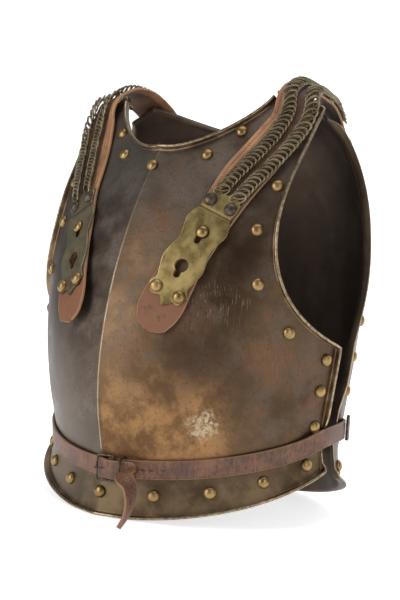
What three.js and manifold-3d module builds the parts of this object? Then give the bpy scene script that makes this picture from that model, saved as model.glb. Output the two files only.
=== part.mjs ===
// Cuirass of heavy cavalry: a keeled breastplate and a backplate, joined over the
// shoulders by leather straps with curb chains and brass keyhole plates, and round the
// waist by a buckled leather belt. Millimetres, +Z up. The breast faces -Y and the
// wearer's left is +X. It stands on the lowest points of its two waist flanges.

import * as THREE from "three";
import { mergeVertices } from "three/addons/utils/BufferGeometryUtils.js";
import Module from "manifold-3d";

const wasm = await Module();
wasm.setup();

// ---------- driving dimensions ----------

const GAP = 0.3; // air left between pieces that touch
const RADIAN = Math.PI / 180;

// Each level of a plate: z above the floor, half width of the section, its depth from
// the side line, the part of that depth taken by the straight-sided keel, and the
// distance of the side line in front of the middle plane.
const BREAST = {
  facing: 1,
  thickness: 3,
  levels: [
    { z: 30, halfWidth: 158, depth: 136, keel: 34, sideLine: 5 },
    { z: 70, halfWidth: 161, depth: 147.5, keel: 33, sideLine: 5 },
    { z: 120, halfWidth: 167.5, depth: 157.5, keel: 25, sideLine: 5 },
    { z: 180, halfWidth: 175, depth: 156.5, keel: 17, sideLine: 5 },
    { z: 250, halfWidth: 182.5, depth: 142, keel: 15, sideLine: 5 },
    { z: 320, halfWidth: 187, depth: 114, keel: 18, sideLine: 5 },
    { z: 380, halfWidth: 188.5, depth: 79, keel: 34, sideLine: 5 },
    { z: 432, halfWidth: 189, depth: 45, keel: 40, sideLine: 5 },
  ],
  // Outline in (angle from the middle, z): neck and armhole are Bezier curves.
  sideAngle: 87.2,
  neck: { low: [0, 368.5], handleLow: [15, 360.5], handleTip: [35, 426], tip: [31.5, 430.5] },
  arm: { tip: [51.5, 417.5], handleTip: [44.5, 308], handleLow: [43, 211.5], low: [87.2, 180.5] },
  waist: { centre: 49, rise: 40 },
  rim: { rise: 57, flare: 5 },
  plainSideRows: 0, // rows above the waist where the side lip stays low, under the belt
};

const BACK = {
  facing: -1,
  thickness: 2.4,
  levels: [
    { z: 30, halfWidth: 159, depth: 108, keel: 0, sideLine: -12 },
    { z: 70, halfWidth: 162, depth: 110, keel: 0, sideLine: -12 },
    { z: 120, halfWidth: 168, depth: 112, keel: 0, sideLine: -12 },
    { z: 180, halfWidth: 175.5, depth: 113, keel: 0, sideLine: -12 },
    { z: 250, halfWidth: 180, depth: 112, keel: 0, sideLine: -12 },
    { z: 310, halfWidth: 175, depth: 109, keel: 0, sideLine: -12 },
    { z: 345, halfWidth: 168, depth: 104, keel: 0, sideLine: -11 },
    { z: 375, halfWidth: 157, depth: 100, keel: 0, sideLine: -9 },
    { z: 400, halfWidth: 143, depth: 97, keel: 0, sideLine: -5 },
    { z: 416, halfWidth: 128, depth: 90, keel: 0, sideLine: -2 },
    { z: 431, halfWidth: 114, depth: 68, keel: 0, sideLine: 0 },
  ],
  sideAngle: 86.5,
  neck: { low: [0, 400], handleLow: [12, 400.5], handleTip: [42, 421], tip: [69, 428.5] },
  arm: { tip: [80, 414], handleTip: [55, 386], handleLow: [83, 230], low: [87, 186] },
  waist: { centre: 49, rise: 34 },
  rim: { rise: 49, flare: 5 },
  plainSideRows: 1,
};

// The turned-out lip round every edge: how far it stands from the middle of the sheet,
// how far it stands under the straps and the belt, and the radius of the turn.
const LIP = { stand: 7.6, lowStand: 3.3, radius: 3, turnSteps: 2 };
const RIM_FLAT_ANGLE = 11; // half angle of the rim's level stretch, which it stands on
const GRID = { neck: 7, shoulder: 2, side: 3, arm: 10, flange: 3 };

const RIVET = { radius: 6.4, height: 4.6, sides: 8, plainSides: 6, sunk: 0.8 };
const FLANGE_RIVET_ROW = 0.585; // share of the flange's drop
const FLANGE_RIVET_ANGLES = [0, 19.5, 39, 59, 79];

// Breast rivets of one side, by angle and z; the first of the neck is in the middle.
const NECK_RIVETS = [
  { angle: 0, z: 352 },
  { angle: 16.6, z: 365 },
  { angle: 24.4, z: 391 },
];
const ARM_RIVETS = [
  { angle: 45, z: 336 },
  { angle: 42.8, z: 291.5 },
  { angle: 47.8, z: 239.5 },
  { angle: 62.5, z: 195 },
];
const SIDE_RIVETS = [
  { angle: 82.4, z: 169.5 },
  { angle: 82, z: 138 },
  { angle: 82.2, z: 101.5 },
];
const BACK_ARM_RIVETS = [
  { angle: 58, z: 352 },
  { angle: 63, z: 304 },
  { angle: 67, z: 254 },
  { angle: 74, z: 209 },
];
const BACK_SIDE_RIVETS = [
  { angle: 81, z: 172 },
  { angle: 81, z: 136 },
];
const BACK_FLANGE_RIVET_ANGLES = [0, 20, 40, 60, 78];

// Shoulder straps. The route runs up the breast from the tongue, over the shoulder and
// down the back: rows on a plate give angle, z and the lift off its face, and the rows
// over the crest give a place and the way that the strap's outer face looks.
const STRAP_ON_BREAST = [
  { angle: 15.8, z: 188, lift: 1.2 },
  { angle: 18.9, z: 213, lift: 0.6 },
  { angle: 22.7, z: 252, lift: 0.6 },
  { angle: 26.2, z: 285, lift: 0.6 },
  { angle: 29, z: 312, lift: 0.6 },
  { angle: 32.2, z: 341, lift: 0.6 },
  { angle: 35.4, z: 363, lift: 0.6 },
  { angle: 38.4, z: 385, lift: 1 },
  { angle: 40.6, z: 405, lift: 3 },
];
const STRAP_OVER_CREST = [
  { x: 122, y: -33, z: 430.5, facing: [0.3, -0.66, 0.69] },
  { x: 118.5, y: -14, z: 440.5, facing: [0.42, -0.28, 0.87] },
  { x: 116.5, y: 9, z: 441.5, facing: [0.5, 0, 0.87] },
  { x: 117, y: 28, z: 437, facing: [0.52, 0.3, 0.8] },
];
const STRAP_ON_BACK = [
  { angle: 59, z: 414, lift: 6.5 },
  { angle: 54, z: 400, lift: 2.5 },
  { angle: 50, z: 385, lift: 0.8 },
  { angle: 47, z: 368, lift: 0.8 },
];
const RIGHT_STRAP_SWING = 3.4; // degrees that the right strap's end hangs nearer the keel
const RIGHT_STRAP_TAIL = { below: 285, length: 97, standOff: 9 }; // its end springs away

const LEATHER = { thickness: 3, stops: 22 };
// Leather outline: share of the route, and the reach to each side of its middle.
const LEATHER_ROWS = [
  { share: 0, inner: 4, outer: 4 },
  { share: 0.008, inner: 12, outer: 12 },
  { share: 0.03, inner: 20, outer: 19 },
  { share: 0.065, inner: 23.5, outer: 22.5 },
  { share: 0.11, inner: 22, outer: 21.5 },
  { share: 0.2, inner: 19.5, outer: 19.5 },
  { share: 0.33, inner: 20, outer: 21 },
  { share: 0.42, inner: 23.5, outer: 23 },
  { share: 0.53, inner: 23, outer: 21.5 },
  { share: 0.65, inner: 18, outer: 20 },
  { share: 0.78, inner: 17.5, outer: 20 },
  { share: 0.9, inner: 21, outer: 21 },
  { share: 1, inner: 21, outer: 21 },
];

// Brass plate: place along the plate from the upper keyhole, and half width there.
const BRASS = { thickness: 2, upperKeyhole: 108 };
const BRASS_ROWS = [
  { at: -81, half: 2.5 },
  { at: -77.5, half: 9 },
  { at: -75, half: 16 },
  { at: -71, half: 20.5 },
  { at: -64, half: 21.5 },
  { at: -57, half: 18 },
  { at: -49, half: 19.5 },
  { at: -36, half: 22.8 },
  { at: -25, half: 21 },
  { at: -13, half: 18.4 },
  { at: -3, half: 20.8 },
  { at: 8, half: 23.4 },
  { at: 16, half: 21 },
  { at: 22, half: 18.2 },
  { at: 34, half: 18.8 },
  { at: 41, half: 17.5 },
  { at: 44, half: 12 },
];
const KEYHOLES = [0, -38];
const KEYHOLE = { radius: 7, slotHalf: 3.4, slotEnd: 13, cutDepth: 24 };
const IRON_RIVET_ROW = { at: 32.3, aside: 11.8 };
const BRASS_RIVET_ROW = { at: -66, aside: 13 };
const BUTTON = { shankRadius: 3, headRadius: 6.1, headHeight: 4.2 };

// Chain rows: distance of each from the middle of the leather along the route.
const CHAIN = { width: 14.5, thickness: 4.6, clearance: 2, startsAt: 153.5, endShare: 0.86 };
const CHAIN_FACETS = { sides: 8, steps: 24, stops: 22 };
const CHAIN_ROWS = [
  { name: "inner", aside: [-7, -4, -2, -3, -4, -5, -6] },
  { name: "outer", aside: [12, 17, 19, 20, 18, 15, 11] },
];
const REAR_PLATE = { length: 34, half: 21, thickness: 2.4, rivetAside: 12, fromEnd: 3 };

// Waist belt, its buckle and the keeper. Places along the belt are angles on the breast.
const BELT = { width: 19, thickness: 3, lift: 0.7, stackLift: 8.1, step: 11, fineStep: 6.5 };
const BUCKLE = { angle: 2.2, length: 21, height: 27, rod: 2.5, thickness: 2.2, lift: 1.4 };
const PRONG = { length: 9.5, width: 2.2, thickness: 1.6, lift: 0.9 };
const KEEPER = { angle: 8.6, width: 2.4, height: 24.4, rod: 2, lift: 1.8 };
const LEFT_BELT_END = 3;
const BELT_SEAT_STEP = 8; // degrees between the seats of the belt's route
const RIGHT_BELT = { climbsFrom: -0.8, restsFrom: [4.6, 7, 11.5] }; // through the buckle
// Where the belt climbs over the side lips on its way to the tab, and its lift there.
const BELT_ON_SIDE = [
  { plate: BACK, angle: 75, z: 96, lift: 0.8 },
  { plate: BACK, angle: 82, z: 95, lift: 3.6 },
  { plate: BREAST, angle: 84.5, z: 89, lift: 6.2 },
  { plate: BREAST, angle: 77, z: 81, lift: 3 },
];
// The free end beyond the keeper: place, and the way that the strap's outer face looks.
const FREE_END = [
  { x: 47, y: -171, z: 47.5, facing: [0.28, -0.82, 0.5] },
  { x: 58.5, y: -177.5, z: 38, facing: [0.82, -0.28, 0.5] },
  { x: 63.5, y: -183, z: 26, facing: [0.95, 0.12, 0.28] },
  { x: 64, y: -189, z: 14, facing: [0.92, 0.36, 0.12] },
  { x: 61, y: -194, z: 4.5, facing: [0.88, 0.44, 0.16] },
];
const FREE_END_TAPER = { from: 0.82, tipHalf: 3.5 };
const BELT_TAB = { angle: 78.5, z: 97, width: 9, height: 27, thickness: 2.6, lift: 6.6 };

const COLOURS = {
  steel: 0x6f6257,
  backSteel: 0x4a4039,
  brass: 0xa98a3c,
  strapBrass: 0x8e8148,
  iron: 0x3b322b,
  chain: 0x8b8465,
  leather: 0x9a5a30,
  belt: 0x7a4630,
};

// ---------- helpers ----------

const vector = (x, y, z) => new THREE.Vector3(x, y, z);
const lerp = THREE.MathUtils.lerp;

// The value of one column of a table of levels at z, by a cubic through its rows whose
// slope at a row is that of the line between its neighbours.
function levelAt(levels, column, z) {
  const last = levels.length - 1;
  let i = levels.findIndex((row) => row.z > z) - 1;
  if (i === -2) i = last - 1;
  i = Math.min(Math.max(i, 0), last - 1);
  const slope = (k) => {
    const a = levels[Math.max(k - 1, 0)];
    const b = levels[Math.min(k + 1, last)];
    return (b[column] - a[column]) / (b.z - a.z);
  };
  const [from, to] = [levels[i], levels[i + 1]];
  const span = to.z - from.z;
  const t = (z - from.z) / span;
  const s = 1 - t;
  return (
    s * s * (1 + 2 * t) * from[column] +
    t * t * (3 - 2 * t) * to[column] +
    s * s * t * span * slope(i) -
    s * t * t * span * slope(i + 1)
  );
}

// A point on the middle of a plate's sheet: an ellipse with a straight-sided keel.
function plateAt(plate, angle, z) {
  const at = (column) => levelAt(plate.levels, column, z);
  const turn = angle * RADIAN;
  const keel = at("keel");
  const out = (at("depth") - keel) * Math.cos(turn) + keel * (1 - Math.abs(Math.sin(turn)));
  const x = plate.facing * at("halfWidth") * Math.sin(turn);
  return vector(x, -plate.facing * out - at("sideLine"), z);
}

// The sheet's point and outward normal.
function seatOn(plate, angle, z) {
  const across = plateAt(plate, angle + 0.5, z).sub(plateAt(plate, angle - 0.5, z));
  const up = plateAt(plate, angle, z + 1).sub(plateAt(plate, angle, z - 1));
  return { point: plateAt(plate, angle, z), normal: across.cross(up).normalize() };
}

const waistZ = (plate, angle) =>
  plate.waist.centre + plate.waist.rise * (1 - Math.cos(angle * RADIAN));

function rimZ(plate, angle) {
  const level = 1 - Math.cos(RIM_FLAT_ANGLE * RADIAN);
  return plate.rim.rise * Math.max(0, 1 - Math.cos(angle * RADIAN) - level);
}

// A point on the flange below the waist: share 0 is the waist and 1 the rim's turn.
function flangeAt(plate, angle, share) {
  const waist = waistZ(plate, angle);
  const { point, normal } = seatOn(plate, angle, waist);
  const outward = vector(normal.x, normal.y, 0).normalize();
  const turnDepth = LIP.radius + plate.thickness / 2;
  const drop = waist - rimZ(plate, angle) - turnDepth;
  const flare = plate.rim.flare * share ** 1.4;
  return point.addScaledVector(outward, flare).sub(vector(0, 0, drop * share));
}

function seatOnFlange(plate, angle, share) {
  const across = flangeAt(plate, angle + 0.5, share).sub(flangeAt(plate, angle - 0.5, share));
  const up = flangeAt(plate, angle, share - 0.02).sub(flangeAt(plate, angle, share + 0.02));
  return { point: flangeAt(plate, angle, share), normal: across.cross(up).normalize() };
}

const bezier = ([a, b, c, d], t) =>
  new THREE.CubicBezierCurve(
    new THREE.Vector2(...a),
    new THREE.Vector2(...b),
    new THREE.Vector2(...c),
    new THREE.Vector2(...d),
  ).getPoint(t);

const between = (a, b, t) => new THREE.Vector2(lerp(a[0], b[0], t), lerp(a[1], b[1], t));

function geometryOf(corners, faces) {
  const geometry = new THREE.BufferGeometry();
  geometry.setAttribute(
    "position",
    new THREE.Float32BufferAttribute(corners.flatMap((p) => p.toArray()), 3),
  );
  geometry.setIndex(faces.flat());
  return geometry;
}

const quad = (a, b, c, d) => [
  [a, b, c],
  [a, c, d],
];

function solidOf(geometry) {
  const bare = geometry.clone();
  bare.deleteAttribute("normal");
  bare.deleteAttribute("uv");
  const merged = mergeVertices(bare, 1e-4);
  const vertProperties = new Float32Array(merged.attributes.position.array);
  const triVerts = new Uint32Array(merged.index.array);
  return new wasm.Manifold(new wasm.Mesh({ numProp: 3, vertProperties, triVerts }));
}

function geometryOfSolid(solid) {
  const { vertProperties, triVerts } = solid.getMesh();
  const geometry = new THREE.BufferGeometry();
  geometry.setAttribute("position", new THREE.BufferAttribute(vertProperties, 3));
  geometry.setIndex(new THREE.BufferAttribute(triVerts, 1));
  return geometry;
}

const cuirass = new THREE.Group();

function add(name, geometry, color, roughness, metalness) {
  geometry.computeVertexNormals();
  const material = new THREE.MeshStandardMaterial({ color, roughness, metalness });
  const mesh = new THREE.Mesh(geometry, material);
  mesh.name = name;
  cuirass.add(mesh);
  return mesh;
}

// Joins a row of closed sections of equal count into a solid, with fanned ends. Seen
// against the way the row runs, each section turns clockwise.
function loft(sections) {
  const count = sections[0].length;
  const faces = [];
  for (let k = 0; k < sections.length - 1; k++) {
    for (let i = 0; i < count; i++) {
      const next = (i + 1) % count;
      const [low, high] = [k * count, (k + 1) * count];
      faces.push(...quad(low + next, low + i, high + i, high + next));
    }
  }
  const top = (sections.length - 1) * count;
  for (let i = 1; i < count - 1; i++) {
    faces.push([0, i, i + 1], [top, top + i + 1, top + i]);
  }
  return geometryOf(sections.flat(), faces);
}

// ---------- breast and back plates ----------

// Grid of the sheet's middle points: rows from the rim's turn up over the waist to the
// neck, columns from one side to the other. The upper rows blend the outline's four
// sides over the patch, as a Coons patch does, in (angle, z).
function sheetGrid(plate) {
  const half = GRID.neck + GRID.shoulder;
  const rows = GRID.side + GRID.arm;
  const { neck, arm, sideAngle } = plate;
  const neckLine = [neck.low, neck.handleLow, neck.handleTip, neck.tip];
  const armLine = [arm.low, arm.handleLow, arm.handleTip, arm.tip];
  const waistPoint = (share) =>
    new THREE.Vector2(sideAngle * share, waistZ(plate, sideAngle * share));
  const top = (i) =>
    i <= GRID.neck
      ? bezier(neckLine, i / GRID.neck)
      : between(neck.tip, arm.tip, (i - GRID.neck) / GRID.shoulder);
  const side = (j) =>
    j <= GRID.side
      ? between(waistPoint(1).toArray(), arm.low, j / GRID.side)
      : bezier(armLine, (j - GRID.side) / GRID.arm);
  const middle = (j) => between(waistPoint(0).toArray(), neck.low, j / rows);
  const patch = (i, j) => {
    const [u, v] = [i / half, j / rows];
    const ends = between(waistPoint(0).toArray(), waistPoint(1).toArray(), u)
      .multiplyScalar(1 - v)
      .add(between(neck.low, arm.tip, u).multiplyScalar(v));
    return waistPoint(u)
      .multiplyScalar(1 - v)
      .add(top(i).multiplyScalar(v))
      .add(middle(j).multiplyScalar(1 - u))
      .add(side(j).multiplyScalar(u))
      .sub(ends);
  };
  const grid = [];
  for (let k = GRID.flange; k > 0; k--) {
    const row = [];
    for (let i = -half; i <= half; i++) {
      row.push(flangeAt(plate, (sideAngle * i) / half, k / GRID.flange));
    }
    grid.push(row);
  }
  for (let j = 0; j <= rows; j++) {
    const row = [];
    for (let i = -half; i <= half; i++) {
      const spot = patch(Math.abs(i), j);
      row.push(plateAt(plate, Math.sign(i) * spot.x, spot.y));
    }
    grid.push(row);
  }
  return grid;
}

// A plate: the grid given a thickness, with a lip turned outward round its whole edge.
function plateGeometry(plate) {
  const grid = sheetGrid(plate);
  const [rows, columns] = [grid.length, grid[0].length];
  const cell = (j, i) =>
    grid[Math.min(Math.max(j, 0), rows - 1)][Math.min(Math.max(i, 0), columns - 1)];
  const normalAt = (j, i) => {
    const across = cell(j, i + 1).clone().sub(cell(j, i - 1));
    const up = cell(j + 1, i).clone().sub(cell(j - 1, i));
    return across.cross(up).normalize();
  };
  const outer = [];
  const inner = [];
  const corner = (point, normal) => {
    outer.push(point.clone().addScaledVector(normal, plate.thickness / 2));
    inner.push(point.clone().addScaledVector(normal, -plate.thickness / 2));
    return outer.length - 1;
  };
  const index = grid.map((row, j) => row.map((point, i) => corner(point, normalAt(j, i))));
  const skin = [];
  for (let j = 0; j < rows - 1; j++) {
    for (let i = 0; i < columns - 1; i++) {
      const low = [index[j][i], index[j][i + 1]];
      const high = [index[j + 1][i + 1], index[j + 1][i]];
      skin.push(...quad(...low, ...high));
    }
  }

  const edge = [];
  for (let i = 0; i < columns; i++) edge.push([0, i]);
  for (let j = 1; j < rows; j++) edge.push([j, columns - 1]);
  for (let i = columns - 2; i >= 0; i--) edge.push([rows - 1, i]);
  for (let j = rows - 2; j > 0; j--) edge.push([j, 0]);
  const lipStand = ([j, i]) => {
    const fromSide = Math.min(i, columns - 1 - i);
    const underStrap = j === rows - 1 && fromSide < GRID.shoulder;
    const underBelt = fromSide === 0 && j > 0 && j <= GRID.flange + plate.plainSideRows;
    return underStrap || underBelt ? LIP.lowStand : LIP.stand;
  };
  let ring = edge.map(([j, i]) => index[j][i]);
  const turned = edge.map((spot, k) => {
    const before = edge.at(k - 1);
    const after = edge[(k + 1) % edge.length];
    const tangent = cell(...after).clone().sub(cell(...before));
    const normal = normalAt(...spot);
    const away = tangent.cross(normal).normalize();
    return { point: cell(...spot), normal, away, stand: lipStand(spot) };
  });
  for (let step = 1; step <= LIP.turnSteps + 1; step++) {
    const turn = (Math.min(step, LIP.turnSteps) / LIP.turnSteps) * (Math.PI / 2);
    const next = turned.map(({ point, normal, away, stand }) => {
      const rise = step > LIP.turnSteps ? stand : LIP.radius * (1 - Math.cos(turn));
      const middle = point
        .clone()
        .addScaledVector(away, LIP.radius * Math.sin(turn))
        .addScaledVector(normal, rise);
      const face = normal
        .clone()
        .multiplyScalar(Math.cos(turn))
        .addScaledVector(away, -Math.sin(turn));
      return corner(middle, face);
    });
    ring.forEach((a, k) => {
      const b = ring[(k + 1) % ring.length];
      skin.push(...quad(a, next[k], next[(k + 1) % next.length], b));
    });
    ring = next;
  }
  const shift = outer.length;
  const faces = [...skin, ...skin.map(([a, b, c]) => [c + shift, b + shift, a + shift])];
  ring.forEach((a, k) => {
    const b = ring[(k + 1) % ring.length];
    faces.push(...quad(a, a + shift, b + shift, b));
  });
  return geometryOf([...outer, ...inner], faces);
}

// ---------- rivets and buttons ----------

// A domed head about +Y, with its flat base at the origin.
function domeGeometry(radius, height, sides) {
  const profile = [
    new THREE.Vector2(0, 0),
    new THREE.Vector2(radius, 0),
    new THREE.Vector2(radius * 0.78, height * 0.66),
    new THREE.Vector2(0, height),
  ];
  return new THREE.LatheGeometry(profile, sides);
}

function stand(mesh, { point, normal }, lift) {
  mesh.quaternion.setFromUnitVectors(vector(0, 1, 0), normal);
  mesh.position.copy(point).addScaledVector(normal, lift);
  return mesh;
}

function addRivet(name, seat, lift, color = COLOURS.brass, metalness = 0.85) {
  const head = domeGeometry(RIVET.radius, RIVET.height, RIVET.sides);
  stand(add(name, head, color, 0.4, metalness), seat, lift);
}

const SIDES = [
  { name: "left", sign: 1 },
  { name: "right", sign: -1 },
];

function addBreast() {
  add("breastplate", plateGeometry(BREAST), COLOURS.steel, 0.5, 0.9);
  const lift = BREAST.thickness / 2 + GAP;
  const place = (name, angle, z) => addRivet(name, seatOn(BREAST, angle, z), lift);
  NECK_RIVETS.forEach(({ angle, z }, k) => {
    if (angle === 0) place("neck_rivet_middle", angle, z);
    else SIDES.forEach(({ name, sign }) => place(`neck_rivet_${name}_${k}`, sign * angle, z));
  });
  SIDES.forEach(({ name, sign }) => {
    ARM_RIVETS.forEach(({ angle, z }, k) => place(`arm_rivet_${name}_${k + 1}`, sign * angle, z));
    SIDE_RIVETS.forEach(({ angle, z }, k) =>
      place(`side_rivet_${name}_${k + 1}`, sign * angle, z),
    );
  });
  FLANGE_RIVET_ANGLES.forEach((angle, k) => {
    const seat = (sign) => seatOnFlange(BREAST, sign * angle, FLANGE_RIVET_ROW);
    if (angle === 0) addRivet("flange_rivet_middle", seat(1), lift);
    else SIDES.forEach(({ name, sign }) => addRivet(`flange_rivet_${name}_${k}`, seat(sign), lift));
  });
}

// The back plate's rivets are sunk into the sheet and fused to it.
function addBack() {
  const seats = [];
  [1, -1].forEach((sign) => {
    [...BACK_ARM_RIVETS, ...BACK_SIDE_RIVETS].forEach(({ angle, z }) =>
      seats.push(seatOn(BACK, sign * angle, z)),
    );
    BACK_FLANGE_RIVET_ANGLES.filter((angle) => angle > 0 || sign > 0).forEach((angle) =>
      seats.push(seatOnFlange(BACK, sign * angle, FLANGE_RIVET_ROW)),
    );
  });
  const lift = BACK.thickness / 2 - RIVET.sunk;
  const heads = seats.map((seat) => {
    const head = new THREE.Object3D();
    stand(head, seat, lift).updateMatrix();
    const dome = domeGeometry(RIVET.radius, RIVET.height + RIVET.sunk, RIVET.plainSides);
    return solidOf(dome.applyMatrix4(head.matrix));
  });
  const joined = heads.reduce((sum, head) => sum.add(head), solidOf(plateGeometry(BACK)));
  add("backplate", geometryOfSolid(joined), COLOURS.backSteel, 0.6, 0.8);
}

// ---------- routes: a line with a facing, for straps and belts ----------

// A route through seats; frameAt gives the point, the way along, the way across
// (towards the wearer's left where the route climbs the breast) and the way out.
function routeThrough(seats) {
  const line = new THREE.CatmullRomCurve3(seats.map(({ point }) => point), false, "centripetal");
  const facing = new THREE.CatmullRomCurve3(
    seats.map(({ point, normal }) => point.clone().addScaledVector(normal, 10)),
    false,
    "centripetal",
  );
  line.arcLengthDivisions = 400;
  const length = line.getLength();
  const frameAt = (distance) => {
    const t = line.getUtoTmapping(distance / length);
    const point = line.getPoint(t);
    const along = line.getTangent(t);
    const across = along.clone().cross(facing.getPoint(t).sub(point)).normalize();
    const out = across.clone().cross(along);
    return { point, along, across, out };
  };
  return { length, frameAt };
}

const offset = ({ point, across, out }, aside, height) =>
  point.clone().addScaledVector(across, aside).addScaledVector(out, height);

// A flat band along a route: rows give the distance along and the reach of each edge
// (left is the lower across), with a few columns across so that it can bend.
function band(route, rows, low, thickness, columns = 2) {
  return loft(
    rows.map(({ distance, from, to }) => {
      const frame = route.frameAt(distance);
      const section = [];
      for (let i = 0; i <= columns; i++) {
        section.push(offset(frame, lerp(from, to, i / columns), low));
      }
      for (let i = columns; i >= 0; i--) {
        section.push(offset(frame, lerp(from, to, i / columns), low + thickness));
      }
      return section;
    }),
  );
}

// Value of one column of a table at a place, in straight lines between the rows.
function tableAt(rows, key, column, place) {
  const i = Math.max(1, rows.findIndex((row) => row[key] >= place));
  const [a, b] = [rows[i - 1], rows[i]];
  return lerp(a[column], b[column], (place - a[key]) / (b[key] - a[key]));
}

// ---------- shoulder straps ----------

function strapRoute(sign) {
  const swing = (z) => {
    if (sign > 0) return 0;
    return RIGHT_STRAP_SWING * THREE.MathUtils.clamp((385 - z) / 100, 0, 1);
  };
  const spring = (z) => {
    const { below, length, standOff } = RIGHT_STRAP_TAIL;
    return sign > 0 ? 0 : standOff * THREE.MathUtils.clamp((below - z) / length, 0, 1) ** 1.3;
  };
  const onPlate = (plate, angle, z, lift) => {
    const { point, normal } = seatOn(plate, angle, z);
    return { point: point.addScaledVector(normal, plate.thickness / 2 + lift), normal };
  };
  const seats = [
    ...STRAP_ON_BREAST.map(({ angle, z, lift }) =>
      onPlate(BREAST, sign * (angle - swing(z)), z, lift + spring(z)),
    ),
    ...STRAP_OVER_CREST.map(({ x, y, z, facing }) => ({
      point: vector(sign * x, y, z),
      normal: vector(sign * facing[0], facing[1], facing[2]).normalize(),
    })),
    ...STRAP_ON_BACK.map(({ angle, z, lift }) => onPlate(BACK, -sign * angle, z, lift)),
  ];
  return routeThrough(seats);
}

// A keyhole's outline: a round hole with a slot below it, ended in a half round.
function keyholeShape() {
  const { radius, slotHalf, slotEnd } = KEYHOLE;
  const meet = Math.asin(slotHalf / radius);
  const shape = new THREE.Shape();
  shape.absarc(0, 0, radius, -Math.PI / 2 + meet, (3 / 2) * Math.PI - meet, false);
  shape.absarc(0, -slotEnd + slotHalf, slotHalf, Math.PI, 2 * Math.PI, false);
  return shape;
}

function keyholeCutter(frame) {
  const depth = KEYHOLE.cutDepth;
  const cutter = new THREE.ExtrudeGeometry(keyholeShape(), {
    depth,
    bevelEnabled: false,
    curveSegments: 4,
  });
  cutter.translate(0, 0, -depth / 2);
  cutter.applyMatrix4(new THREE.Matrix4().makeBasis(frame.across, frame.along, frame.out));
  cutter.translate(...frame.point.toArray());
  return solidOf(cutter);
}

function cutKeyholes(geometry, route) {
  const cut = KEYHOLES.reduce(
    (solid, at) => solid.subtract(keyholeCutter(route.frameAt(BRASS.upperKeyhole + at))),
    solidOf(geometry),
  );
  return geometryOfSolid(cut);
}

// Reaches of the leather's two edges, with the inner one towards the neck.
const leatherEdges = (sign, inner, outer) =>
  sign > 0 ? { from: -inner, to: outer } : { from: -outer, to: inner };

function addShoulderStrap({ name, sign }) {
  const route = strapRoute(sign);
  const leatherShares = LEATHER_ROWS.map((row) => row.share);
  for (let k = 2; k < LEATHER.stops; k++) leatherShares.push(k / LEATHER.stops + 0.002);
  leatherShares.sort((a, b) => a - b);
  const leatherRows = leatherShares.map((share) => ({
    distance: share * route.length,
    ...leatherEdges(
      sign,
      tableAt(LEATHER_ROWS, "share", "inner", share),
      tableAt(LEATHER_ROWS, "share", "outer", share),
    ),
  }));
  const leather = band(route, leatherRows, 0, LEATHER.thickness);
  add(`shoulder_leather_${name}`, cutKeyholes(leather, route), COLOURS.leather, 0.75, 0);

  const brassLow = LEATHER.thickness + GAP;
  const brassRows = BRASS_ROWS.map(({ at, half }) => ({
    distance: BRASS.upperKeyhole + at,
    from: -half,
    to: half,
  }));
  const brass = band(route, brassRows, brassLow, BRASS.thickness);
  add(`shoulder_plate_${name}`, cutKeyholes(brass, route), COLOURS.strapBrass, 0.45, 0.8);

  const headLift = brassLow + BRASS.thickness + GAP;
  const addPair = (label, { at, aside }, color, metalness) => {
    const frame = route.frameAt(BRASS.upperKeyhole + at);
    [-1, 1].forEach((hand, k) => {
      const seat = { point: offset(frame, hand * aside, 0), normal: frame.out };
      addRivet(`${label}_${name}_${k + 1}`, seat, headLift, color, metalness);
    });
  };
  addPair("iron_rivet", IRON_RIVET_ROW, COLOURS.iron, 0.6);
  addPair("plate_rivet", BRASS_RIVET_ROW, COLOURS.brass, 0.85);

  const frame = route.frameAt(BRASS.upperKeyhole);
  const { shankRadius, headRadius, headHeight } = BUTTON;
  const shank = headLift + GAP;
  const button = new THREE.LatheGeometry(
    [
      new THREE.Vector2(0, 0),
      new THREE.Vector2(shankRadius, 0),
      new THREE.Vector2(shankRadius, shank),
      new THREE.Vector2(headRadius, shank),
      new THREE.Vector2(headRadius, shank + headHeight * 0.3),
      new THREE.Vector2(headRadius * 0.7, shank + headHeight * 0.85),
      new THREE.Vector2(0, shank + headHeight),
    ],
    10,
  );
  const buttonSeat = { point: frame.point, normal: frame.out };
  stand(add(`strap_button_${name}`, button, COLOURS.iron, 0.5, 0.6), buttonSeat, -GAP);

  CHAIN_ROWS.forEach((row) => addChain(name, sign, route, row));
  addRearPlate(name, sign, route);
}

// One chain row, as a flat tube along its route on the leather.
function addChain(name, sign, route, row) {
  const [start, end] = [CHAIN.startsAt, CHAIN.endShare * route.length];
  const height = LEATHER.thickness + CHAIN.clearance + CHAIN.thickness / 2;
  const { sides, steps, stops } = CHAIN_FACETS;
  const frames = [];
  const points = [];
  for (let k = 0; k <= stops; k++) {
    const share = k / stops;
    const column = share * (row.aside.length - 1);
    const i = Math.min(Math.floor(column), row.aside.length - 2);
    const aside = lerp(row.aside[i], row.aside[i + 1], column - i);
    frames.push(route.frameAt(lerp(start, end, share)));
    points.push(offset(frames[k], sign * aside, height));
  }
  const path = new THREE.CatmullRomCurve3(points, false, "centripetal");
  const { normals, binormals } = path.computeFrenetFrames(steps);
  const flatWay = Math.atan2(frames[0].across.dot(binormals[0]), frames[0].across.dot(normals[0]));
  const section = new THREE.Shape();
  section.absellipse(0, 0, CHAIN.width / 2, CHAIN.thickness / 2, 0, 2 * Math.PI, false, flatWay);
  const tube = new THREE.ExtrudeGeometry(section, {
    steps,
    curveSegments: sides / 2, // an ellipse gets two for each
    extrudePath: path,
    bevelEnabled: false,
  });
  add(`chain_${name}_${row.name}`, tube, COLOURS.chain, 0.5, 0.8);
}

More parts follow.
